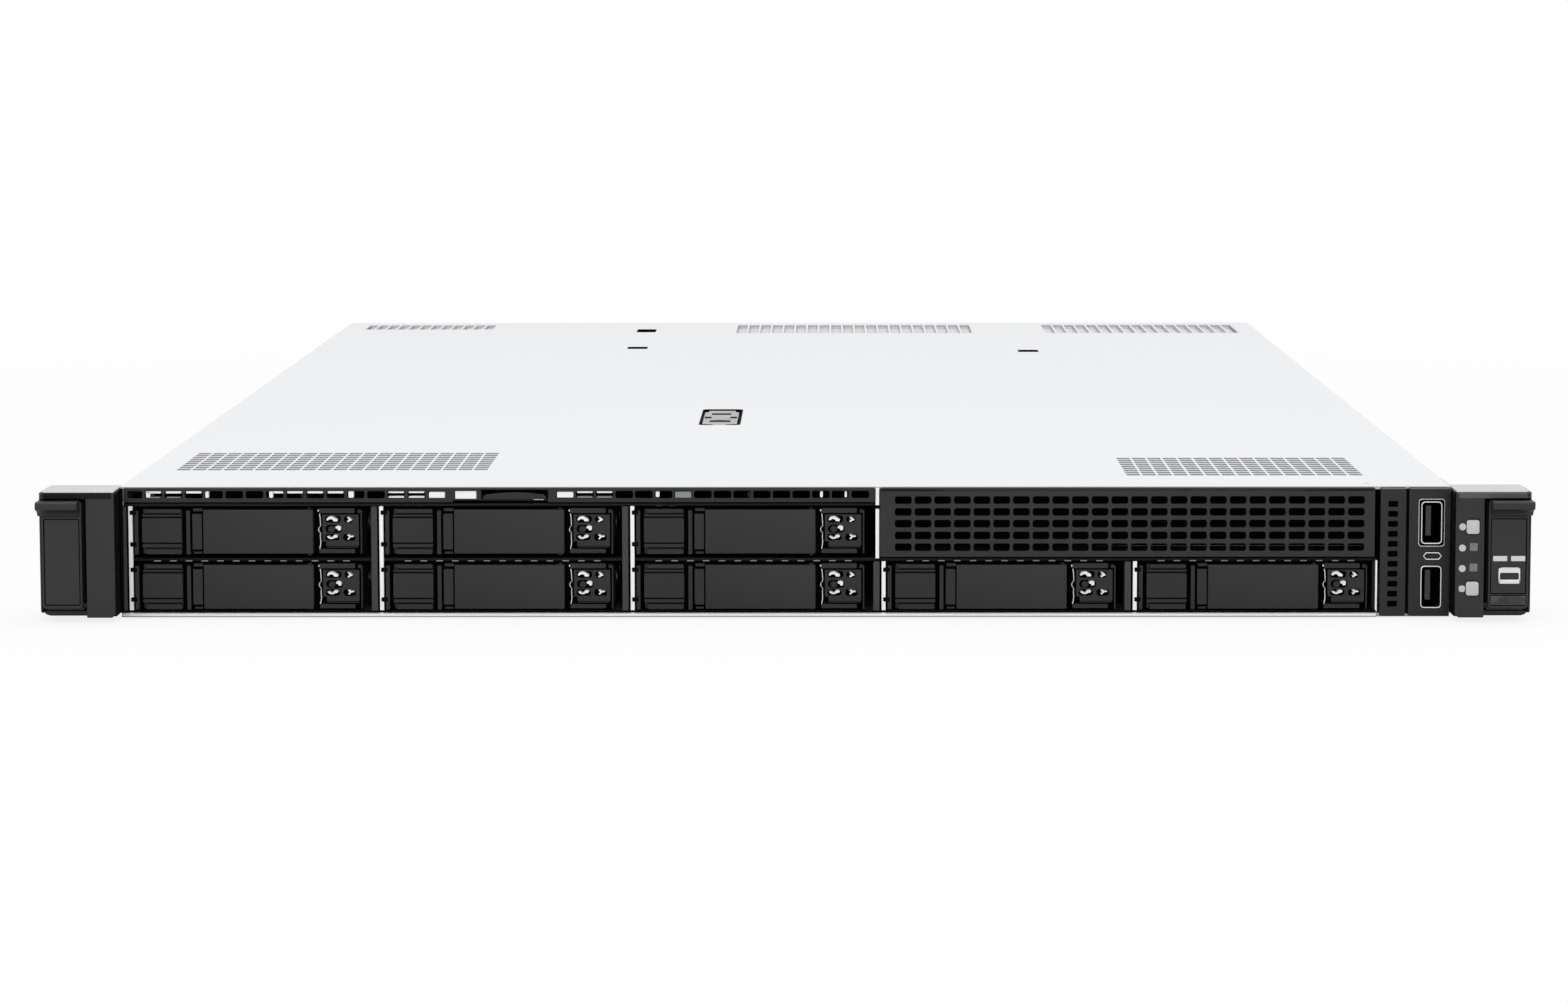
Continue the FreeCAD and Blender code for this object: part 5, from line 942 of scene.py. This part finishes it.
# Plated shells of the front ports and of the jacks and the display connector at the rear.
def connectorShells():
    shape, tongues, linings = Shape(), Shape(), Shape()
    for box in port["usb"]:
        left, low, right, high = box
        loops = [ring(*box, 1.2, 4), inset(box, 0.42, 0.9, 4)]
        shape.stand(loops, 0.5, -9.7)
        # dark sleeves inside the ports, with a dark ring round the upper shroud, as painted shade
        linings.stand(loops, 14.4, 4.7)
        linings.block((left + 0.3, 4.6, low + 0.3), (right - 0.3, 5.0, high - 0.3))
        tongues.pad((left + 1.6, low + 2.6, left + 3.4, high - 1.5), 0.2, 1, -8.6, 4.8)
    upper, reach = port["usb"][1], port["shroud"]
    edge = inset(upper, port["shroudGauge"] - reach, 0.85, 4)
    shape.stand([inset(upper, -reach, 1.0, 4), edge], 0.12, -9.93)
    linings.stand([edge, ring(*upper, 1.2, 4)], 0.08, -9.95)
    make(linings, "portShadeLinings", "black_plastic", "deepBlack", 0.05)
    shape.stand([port["service"], shrunk(port["service"], port["serviceMiddle"], 0.86, 0.7)], 6.5, -3.6)
    tongues.slab(ring(210.0, 19.8, 212.9, 20.3), -8.8, -4.0)
    low, wide = jack["low"], jack["width"]
    pin = Shape().block((0, 0, 0), (0.5, 12.0, 0.4)).toMesh()
    for i in range(jack["count"]):
        left = jack["left"] + jack["pitch"] * i
        box = (left, low, left + wide, low + jack["height"])
        mouth = [(left + across, low + up) for across, up in jack["mouth"]]
        shape.stand([ring(*box, 0.3, 1), mouth], 15.0, rearFace)
        shape.slab(ring(*box), rearFace - 21.0, rearFace - 15.0)
        tongues.row(pin, (left + 3.7, rearFace - 14.8, low + 2.2), 8, 1, (1.15, 0, 0))
        lining = ring(left + 1.6, low + 1.6, left + wide - 1.6, low + 11.3, 0.3, 1)
        tongues.stand([lining, mouth], 13.0, rearFace - 1.0)
    shape.pad(display["box"], 0.8, 2, rearFace - 14, rearFace)
    bore = shrunk(display["rim"], display["middle"], 0.9, 0.84)
    shape.stand([display["rim"], bore], 5.0, rearFace + 5.0)
    tongues.slab(bore, rearFace, rearFace + 3.6)
    for across in display["nuts"]:
        shape.slab(disc(across, display["middle"][1], 2.3, 6), rearFace, rearFace + 4.5)
    make(shape, "connectorShells", "connector_shell", "plating", 0.12, "port_shells")
    make(tongues, "connectorTongues", "black_plastic", "socketPlastic", 0.08)


ear = {"inner": 217.5, "split": 226.9, "outer": 242.2, "low": 1.2, "high": 42.5, "front": -20.5,
       "roundHole": (232.55, 22.2, 3.3), "squareHole": (228.85, 27.3, 236.25, 36.5),
       "bracket": (217.32, 218.8)}


def earBody(sign, name, node, holes, browLightAndShade):
    inner, split, outer, low, high, front = pick(ear, "inner split outer low high front")
    top = high - 0.5

    def hood(back):
        return mirrored([(split - 1, front + 0.4), (outer - 1.6, front + 0.4), (outer - 0.5, front + 0.9),
                         (outer, front + 2.0), (outer, back), (split - 1, back)], sign)

    face = [(inner + 1.1, low), (split, low), (split, top), (inner + 0.5, top), (inner, high - 1.3),
            (inner, low + 1.2)]
    shape = Shape().stand([mirrored(face, sign)] + holes, 3.4, front + 3.4)
    left, right = span(sign, inner, split)
    shape.slab(ring(left, low, right, top), front + 3.4, 0.0)
    left, right = span(sign, split, outer)
    across, up, radius = ear["roundHole"]
    near, bottom, far, ceiling = ear["squareHole"]
    near, far = span(sign, near, far)
    shape.stand([ring(left, low, right, top, 1.8, 4), disc(sign * across, up, radius, 28),
                 ring(near, bottom, far, ceiling)], 3.0, 0.0)
    shape.slab(hood(-2.0), 41.0, 42.0, "z").slab(hood(-17.0), 39.9, 41.1, "z")
    shape.side(ring(-18.7, 2.4, -2.0, 41.2, 1.5, 4), sign, outer - 0.75, outer)
    # foot under the latch, rounded at its outer end
    foot = [(split - 1, low), (outer - 2.6, low), (outer - 1.3, low + 0.35), (outer - 0.35, low + 1.2),
            (outer, low + 2.3), (outer - 0.7, low + 2.3), (outer - 1.2, low + 1.75), (split - 1, low + 1.75)]
    shape.slab(mirrored(foot, sign), -15.3, -2.0)
    make(shape, name, "black_plastic", "earPlastic", 0.3, node, segments=2)
    # the bracket flange is chassis metal made near black as painted shade in the gap beside the ear
    flange = ring(front + 0.22, low + 0.6, 28.0, high - 0.8, 0.5, 1)
    bracket = Shape().side(flange, sign, *ear["bracket"])
    make(bracket, name + "ShadeBracket", "chassis_metal", "deepBlack", 0.1)
    # the brow's finish comes from the caller: a shaded copy on the left and a lit copy on the right, painted
    # shade and painted light
    near, far = span(sign, inner + 0.9, outer - 1.7)
    brow = [ring(near, 40.25, far, 41.75)] + 2 * [ring(near, 40.1, far, 42.0)]
    brow = Shape().loft(brow, (front - 0.22, front - 0.02, front + 1.2))
    make(brow, name + "Brow", "black_plastic", browLightAndShade, 0.08)
    lid = [(inner + 0.2, front + 0.5), (outer - 1.8, front + 0.5), (outer - 1.1, front + 1.3),
           (outer - 0.9, front + 2.4), (outer - 0.9, -0.2), (inner + 0.2, -0.2)]
    cap = Shape().slab(mirrored(lid, sign), 41.95, 42.5, "z")
    screws = gridOf(rivetLook(2.6, 0.9), 1, 3, (0, 0, 0), (0, 0, 14.0))
    turn = Matrix() if sign > 0 else Matrix.Rotation(math.pi, 4, "Z")
    cap.add(screws, Matrix.Translation((sign * 218.7, 15.0, 8.0)) @ turn)
    make(cap, name + "Cap", "chassis_metal", "supplySteel", 0.2)


# The latch's side profile: plate, finger lip and the sweep under it, as (along, up).
lipProfile = ((-19.0, 39.6), (-26.1, 39.6), (-26.5, 39.2), (-26.5, 37.5), (-26.2, 37.1), (-25.3, 36.9),
              (-23.8, 36.5), (-22.8, 35.9), (-22.0, 35.2), (-21.5, 34.6), (-19.0, 34.6))
webProfile = ((-20.2, 6.5), (-4.0, 6.5), (-4.0, 36.6), (-11.5, 38.2), (-20.2, 39.2))
plate = {"inner": 228.1, "outer": 241.1, "low": 4.2, "high": 39.6, "front": -21.05, "frame": 0.65,
         "panelHigh": 33.7, "grip": (5.4, 8.5), "groove": 0.26, "catch": (230.05, 28.5, 235.05, 31.5)}


def earLatch(sign, name, node, body, panelLow):
    inner, outer, low, front, frame, panelHigh = pick(plate, "inner outer low front frame panelHigh")
    near, far = span(sign, inner, outer)
    shape = Shape().slab(ring(near, low, far, plate["high"], 1.2, 4), front, -19.0)
    near, far = span(sign, inner + 0.1, outer - 0.1)
    left, right = span(sign, inner + frame, outer - frame)
    inlay = (left, panelLow, right, panelHigh)
    shape.stand([ring(near, low + 0.2, far, panelHigh + 0.6, 0.9, 3), ring(*inlay, 0.4, 2)], 0.45, front)
    shape.side(lipProfile, sign, 228.7, 242.3)
    shape.side(ring(-19.1, 3.6, -15.9, 6.8), sign, 227.9, 239.9)
    shape.side(disc(-17.5, 5.2, 1.2, 24), sign, 222.9, 234.9)
    near, bottom, far, top = plate["catch"]
    near, far = span(sign, near, far)
    shape.pad((near, bottom, far, top), 0.4, 2, -19.1, -0.5)
    # raised inset panel, with a dark pad behind it that shows as painted shade in the groove round it, and
    # the dark web at the latch's inner side
    shape.slab(inset(inlay, plate["groove"], 0.3, 2), front - 0.22, front + 0.1)
    web = Shape().pad(inlay, 0.4, 2, front - 0.06, front + 0.1)
    web.side(webProfile, sign, 227.3, 228.2)
    low, high = plate["grip"]
    if panelLow > high:
        web.pad((left - 0.05, low - 0.2, right + 0.05, high + 0.2), 0.4, 2, -21.56, -21.3)
        grip = [ring(left + 0.3, low + 0.35, right - 0.3, high - 0.25),
                ring(left + 0.1, low, right - 0.1, high)]
        grip = Shape().loft(grip, (-21.72, -21.5))
        make(grip, name + "Grip", "black_plastic", "gripPlastic", 0.08, segments=2, body=body)
    make(shape, name, "black_plastic", "earPlastic", 0.16, node, segments=2, body=body)
    make(web, name + "GrooveShadeAndWeb", "black_plastic", "deepBlack", 0.03, body=body)


controls = {"keys": (("powerKey", "power_key", "power_button", 28.6), ("idKey", "id_key", "id_button", 8.5)),
            "keyLeft": 221.0, "keySize": (4.1, 4.5), "keyRoom": 0.2, "lamps": (23.0, 16.3),
            "lampLeft": 222.1, "lampSize": 2.6, "dots": (29.7, 22.8, 16.1), "lastDot": 9.5, "dotLeft": 218.6,
            "dotRadius": 1.15, "bars": ((229.6, 19.75, 234.2, 21.45), (235.4, 19.75, 240.0, 21.45)),
            "pad": (232.1, 13.2, 237.6, 16.8), "loop": ((231.3, 12.4, 238.4, 17.8, 0.8, 4),
                                                        (231.85, 13.85, 237.85, 15.95, 0.4, 3))}


def keyBox(low):
    left, (wide, tall) = controls["keyLeft"], controls["keySize"]
    return left, low, left + wide, low + tall


def rightControls():
    for name, body, node, low in controls["keys"]:
        outline = ring(*keyBox(low), 0.7, 3)
        shape = Shape().loft([inset(keyBox(low), 0.55, 0.4), outline, outline], (-21.4, -21.15, -16.8))
        make(shape, name, "lens", "keyPlastic", 0.1, node, segments=2, body=body)
    left, size = controls["lampLeft"], controls["lampSize"]
    lamps = [(left, low, left + size, low + size, 0.3, 2, 20.7) for low in controls["lamps"]]
    shape = Shape().pads(lamps, -17.5)
    make(shape, "statusLamps", "lens", "lampPlastic", 0.1, "status_lenses", segments=2)
    left, low, radius = pick(controls, "dotLeft lastDot dotRadius")
    last = inset((left, low, left + 2 * radius, low + 2 * radius), 0.1, 0.7, 5)
    shape = Shape().slab(last, -20.7, -17.5)
    for low in controls["dots"]:
        shape.slab(disc(left + radius, low + radius, radius, 24), -20.7, -17.5)
    make(shape, "statusDots", "lens", "keyPlastic", 0.15, segments=2)
    shape = Shape().pads([(*bar, 0.15, 1, 21.35) for bar in controls["bars"]], -20.9)
    make(shape, "latchLightBars", "lens", "barPlastic", 0.06, body="right_latch")
    shape = Shape().stand([ring(*outline) for outline in controls["loop"]], 1.2, -20.9)
    make(shape, "latchLoop", "connector_shell", "plating", 0.25, segments=2, body="right_latch")
    shape = Shape().pad(controls["pad"], 0.4, 3, -21.25, -20.9)
    make(shape, "latchLoopPad", "black_plastic", "deepBlack", 0.08, body="right_latch")


def rackEars():
    holes = [inset(keyBox(low), -controls["keyRoom"], 0.9) for *_, low in controls["keys"]]
    # the two brows are shaded and lit copies of one black plastic: painted shade on the left, painted light
    # on the right
    earBody(-1, "leftEar", "left_ear", [], "shadowPlastic")
    earBody(1, "rightEar", "right_ear", holes, "litBrowPlastic")
    earLatch(-1, "leftEarLatch", "left_ear_latch", "left_latch", 5.3)
    earLatch(1, "rightEarLatch", "right_ear_latch", "right_latch", 9.0)
    rightControls()


fans = {"pitch": 61.0, "count": 7, "screws": ((-16.5, 152.5), (16.5, 199.5)), "pad": (-11, 166, 11, 188)}


def fanRow(screws):
    dress("fan_housings", "fanHousings", "black_plastic", "blackPlastic", 0.4)
    pads = Shape()
    screw = screwLook(1.9, 0.4)
    left, front, right, back = fans["pad"]
    numbers = range(1, fans["count"] + 1)
    for number in numbers:
        across = (number - 4) * fans["pitch"]
        pads.pad((across + left, front, across + right, back), 1.5, 3, 40.95, 41.15, "z")
        for side, along in fans["screws"]:
            screws.add(screw, Matrix.Translation((across + side, along, 41.0)))
    make(pads, "fanPads", "grey_plastic", "postPlastic", 0.08)
    for number in numbers:
        dress(f"fan_rotor_{number}", f"fanRotor{number}", "black_plastic", "socketPlastic", 0.2,
              body=f"rotor_{number}")


# Four banks of six memory modules; the outline is one module's side.
banks = {"starts": (-197.5, -55.5, 10.5, 152.5), "each": 6, "pitch": 9.0, "latches": (284.5, 424.0),
         "outline": ((290.0, 12.5), (291.3, 12.5), (291.3, 10.6), (422.0, 10.6), (422.0, 12.5),
                     (423.35, 12.5), (423.35, 40.4), (290.0, 40.4))}
modulePlaces = [start + i * banks["pitch"] for start in banks["starts"] for i in range(banks["each"])]


def memoryBanks():
    modules, chips = Shape(), Shape()
    chip = Shape().slab(ring(0, 0, 9.5, 12.5), -1.5, 1.5, "x").toMesh()
    small = Shape().slab(ring(0, 0, 1.6, 0.9), -1.0, 1.0, "x").toMesh()
    chipRow = gridOf(chip, 9, 1, (0, 13.4, 0))
    smallRow = gridOf(small, 26, 2, (0, 4.9, 0), (0, 0, 3.4))
    for across in modulePlaces:
        modules.slab(banks["outline"], across - 0.7, across + 0.7, "x")
        chips.add(chipRow, Matrix.Translation((across, 297.0, 20.5)))
        chips.add(smallRow, Matrix.Translation((across, 293.5, 14.2)))
    make(modules, "memoryBoards", "memory", "solderMask", 0.12, "memory_modules")
    make(chips, "memoryChips", "memory", "chipBlack", 0)


sink = {"middles": (-104.0, 104.0), "width": 80.0, "front": 300.0, "end": 408.0, "low": 11.0, "foot": 16.0,
        "high": 36.0, "fins": 41, "gauge": 0.5}


def heatsinks():
    fins, frames = Shape(), Shape()
    front, end, low, foot, high = pick(sink, "front end low foot high")
    pitch = (sink["width"] - sink["gauge"]) / (sink["fins"] - 1)
    fin = Shape().block((0, front + 3, foot), (sink["gauge"], end - 3, high)).toMesh()
    fold = Shape().block((0, front + 3, high - 0.4), (pitch + 0.1, front + 14, high)).toMesh()
    for middle in sink["middles"]:
        left, right = middle - sink["width"] / 2, middle + sink["width"] / 2
        fins.row(fin, (left, 0, 0), sink["fins"], 1, (pitch, 0, 0))
        for along in (0, 91.0):
            fins.row(fold, (left, along, 0), sink["fins"] - 1, 1, (pitch, 0, 0))
        frames.pad((left, front, right, end), 2.0, 3, low, foot, "z")
        for across in (left + 6, right - 6):
            for along in (front + 1.6, end - 1.6):
                frames.slab(disc(across, along, 1.5, 12), foot, low + 14, "z")
    make(fins, "heatsinkFins", "sink_metal", "finMetal", 0, "heatsinks")
    make(frames, "heatsinkBases", "sink_metal", "finMetal", 0.3)


board = {"top": 7.6, "clear": ((-212, 215, 212, 288), (-212, 428, 212, 545), (-30, 545, 52, 730)),
         "plugs": (-190.0, -120.0, -40.0, 40.0, 120.0, 180.0)}


def systemBoard():
    dress("system_board", "systemBoard", "board", "solderMask", 0.15)
    chip = Shape().pad((-4, -4, 4, 4), 0.6, 1, 0, 1.2, "z").toMesh()
    tiny = Shape().block((-1.1, -0.6, 0), (1.1, 0.6, 0.9)).toMesh()
    can = Shape().slab(disc(0, 0, 3.0, 12), 0, 6.5, "z").toMesh()
    choke = Shape().pad((-4.5, -4.5, 4.5, 4.5), 0.8, 1, 0, 4.2, "z").toMesh()
    dark, metal, plugs, slots = Shape(), Shape(), Shape(), Shape()
    top = board["top"]
    for number, (left, front, right, back) in enumerate(board["clear"]):
        wide, long = right - left, back - front
        place = (left + 12, front + 12, top)
        for mesh, least, across, along, jitter, change, seed in ((chip, 2, 26, 24, (6.0, 5.0, 0), 0.6, 11),
                                                                 (tiny, 3, 9, 9, (3.0, 3.0, 0), 0.4, 31)):
            columns, rows = max(least, int(wide / across)), max(least, int(long / along))
            steps = ((wide - 24) / (columns - 1), 0, 0), (0, (long - 24) / (rows - 1), 0)
            dark.row(mesh, place, columns, rows, *steps, jitter=jitter, sizeChange=change,
                     seed=seed + number)
        columns, rows = max(2, columns // 5), max(2, rows // 4)
        metal.row(can, place, columns, rows, (wide / columns - 5, 0, 0), (0, long / rows - 4, 0),
                  jitter=(7.0, 7.0, 0), sizeChange=0.35, seed=51 + number)
    for middle in sink["middles"]:
        dark.row(choke, (middle - 36.4, 432.0, top), 8, 1, (10.4, 0, 0))
        metal.row(can, (middle - 38.5, 441.0, top), 12, 1, (7.0, 0, 0))
    for across in board["plugs"]:
        box = (across - 9, 219, across + 9, 226)
        plugs.lay([ring(*box), inset(box, 1)], 7.0, top).slab(ring(*box), top, top + 2.0, "z")
    for across in modulePlaces:
        for along in banks["latches"]:
            slots.pad((across - 2.9, along, across + 2.9, along + 4.3), 0.5, 1, top, 17.0, "z")
    make(dark, "boardChips", "board", "chipBlack", 0)
    make(metal, "boardCans", "sink_metal", "screwMetal", 0)
    make(plugs, "boardPlugs", "grey_plastic", "socketPlastic", 0.1)
    make(slots, "memoryLatches", "grey_plastic", "greyPlastic", 0.15)


def riser(screws):
    dress("riser_cage", "riserCage", "chassis_metal", "supplySteel", 0.15)
    screws.row(screwLook(2.2, 0.5), (70.0, 566.0, 40.75), 3, 2, (65.0, 0, 0), (0, 162.0, 0))


supply = {"left": -214.8, "pitch": 88.1, "width": 86.3, "high": 40.0, "front": 553.0, "screwMargin": 6.0}


def supplies():
    screw = screwLook(1.5, 0.3)
    louvre = Shape().pad((0, 0, 30.0, 1.6), 0.7, 2, 0, 0.25, "z").toMesh()
    front, high = supply["front"], supply["high"] - 0.05
    for number in (1, 2):
        left = supply["left"] + (number - 1) * supply["pitch"]
        body = f"supply_{number}"
        dress(f"power_supply_{number}", f"powerSupply{number}", "supply_metal", "supplySteel", 0.15,
              body=body)
        dress(f"supply_release_tab_{number}", f"supplyTab{number}", "release_tab", "touchPlastic", 0.35,
              segments=2, body=f"supply_tab_{number}")
        screws = Shape()
        for across in (supply["screwMargin"], supply["width"] - supply["screwMargin"]):
            screws.row(screw, (left + across, front + 9, high), 1, 4, (0, 0, 0), (0, 56.0, 0))
        make(screws, f"supplyScrews{number}", "carrier_metal", "screwMetal", 0, body=body)
        louvres = Shape().row(louvre, (left + 8, front + 120, high), 2, 9, (40.0, 0, 0), (0, 4.0, 0))
        make(louvres, f"supplyLouvres{number}", "supply_metal", "driveMetal", 0, body=body)


# Floor, light and camera.
stage = {"floor": 60.0, "under": -0.0004, "ambient": 0.62, "keyPower": 23.0, "frontPower": 10.0,
         "ownGlow": 0.82, "middle": (0.0, 0.36, 0.0), "nearEdge": 0.3, "farEdge": 1.1}
viewpoint = {"place": (14.417, -1524.7, 205.05), "pitch": 0.1098, "yaw": -0.0096, "roll": -0.0015,
             "focal": 4670.4, "width": 1568, "film": 36.0}


def makeFloor():
    half = stage["floor"] / 2
    bm = bmesh.new()
    bm.faces.new([bm.verts.new((u, v, stage["under"])) for u, v in ring(-half, -half, half, half)])
    mesh = bpy.data.meshes.new("floor")
    bm.to_mesh(mesh)
    bm.free()
    floor = bpy.data.objects.new("floor", mesh)
    scene.collection.objects.link(floor)
    material = bpy.data.materials.new("paleFloor")
    material.use_nodes = True
    graph = Graph(material.node_tree)
    place = graph.node("ShaderNodeTexCoord", output="Object")
    cloud = graph.node("ShaderNodeTexNoise", {}, {"Vector": place, "Scale": 3.0, "Detail": 3.0})
    colour = graph.blendColour(cloud, (0.95, 0.95, 0.95, 1), (0.97, 0.97, 0.97, 1))
    matt = graph.node("ShaderNodeBsdfDiffuse", {}, {"Color": colour})
    glow = graph.node("ShaderNodeEmission", {}, {"Color": (1, 1, 1, 1), "Strength": 1.0})
    seen = graph.node("ShaderNodeLightPath", output="Is Camera Ray")
    away = graph.node("ShaderNodeVectorMath", {"operation": "DISTANCE"}, {0: place, 1: stage["middle"]},
                      "Value")
    fade = graph.node("ShaderNodeMapRange", {"interpolation_type": "SMOOTHSTEP"},
                      {"Value": away, "From Min": stage["nearEdge"], "From Max": stage["farEdge"],
                       "To Min": stage["ownGlow"], "To Max": 1.0}, "Result")
    mix = graph.node("ShaderNodeMixShader", {}, {0: seen * fade, 1: matt, 2: glow})
    graph.node("ShaderNodeOutputMaterial", {}, {"Surface": mix})
    mesh.materials.append(material)


def makeWorld():
    world = bpy.data.worlds.new("paleStudio")
    scene.world = world
    world.use_nodes = True
    graph = Graph(world.node_tree)
    rays = graph.tree.nodes.new("ShaderNodeLightPath")
    kinds = ("Camera", "Glossy", "Transmission")
    camera, glossy, through = (Wire(graph, rays.outputs[f"Is {kind} Ray"]) for kind in kinds)
    seen = graph.maths("MAXIMUM", graph.maths("MAXIMUM", camera, glossy), through)
    soft = graph.node("ShaderNodeBackground", {}, {"Color": (1, 1, 1, 1), "Strength": stage["ambient"]})
    white = graph.node("ShaderNodeBackground", {}, {"Color": (1, 1, 1, 1), "Strength": 1.0})
    mix = graph.node("ShaderNodeMixShader", {}, {0: seen, 1: soft, 2: white})
    graph.node("ShaderNodeOutputWorld", {}, {"Surface": mix})


def makeLamp(name, place, target, size, power):
    lamp = bpy.data.lights.new(name, "AREA")
    lamp.shape = "RECTANGLE"
    lamp.size, lamp.size_y = size
    lamp.energy = power
    carrier = bpy.data.objects.new(name, lamp)
    scene.collection.objects.link(carrier)
    carrier.location = place
    carrier.rotation_euler = (Vector(target) - Vector(place)).to_track_quat("-Z", "Y").to_euler()


def makeCamera():
    lens = bpy.data.cameras.new("camera")
    lens.sensor_width = viewpoint["film"]
    lens.lens = viewpoint["focal"] * viewpoint["film"] / viewpoint["width"]
    lens.clip_end = 100.0
    camera = bpy.data.objects.new("camera", lens)
    scene.collection.objects.link(camera)
    cy, sy = math.cos(viewpoint["yaw"]), math.sin(viewpoint["yaw"])
    cp, sp = math.cos(viewpoint["pitch"]), math.sin(viewpoint["pitch"])
    cr, sr = math.cos(viewpoint["roll"]), math.sin(viewpoint["roll"])
    forward = Vector((cp * sy, cp * cy, -sp))
    right = Vector((cr * cy + sp * sr * sy, -cr * sy + sp * sr * cy, cp * sr))
    up = Vector((-sr * cy + sp * cr * sy, sr * sy + sp * cr * cy, cp * cr))
    turn = Matrix((right, up, -forward)).transposed().to_4x4()
    camera.matrix_world = Matrix.Translation(Vector(viewpoint["place"]) * mm) @ turn
    scene.camera = camera


makeCamera()
makeWorld()
makeLamp("overheadSoftbox", (0.1, -0.1, 2.2), (0.0, 0.3, 0.0), (2.6, 2.2), stage["keyPower"])
makeLamp("frontSoftbox", (-0.4, -2.6, 1.0), (0.0, 0.0, 0.02), (2.2, 1.2), stage["frontPower"])
makeFloor()
print("camera, light and floor set")
frontCover()
accessPanel()
coverLatch()
print("covers made")
trayAndSides()
driveCage()
drives()
print("drive bays made")
ventStrip()
stripBits()
pullTab()
mediaBlank()
portBezel()
connectorShells()
rackEars()
print("front and ears made")
insideScrews = Shape()
fanRow(insideScrews)
memoryBanks()
heatsinks()
systemBoard()
riser(insideScrews)
make(insideScrews, "insideScrews", "carrier_metal", "screwMetal", 0)
supplies()
print("inside made")

scene.view_settings.view_transform = "Standard"
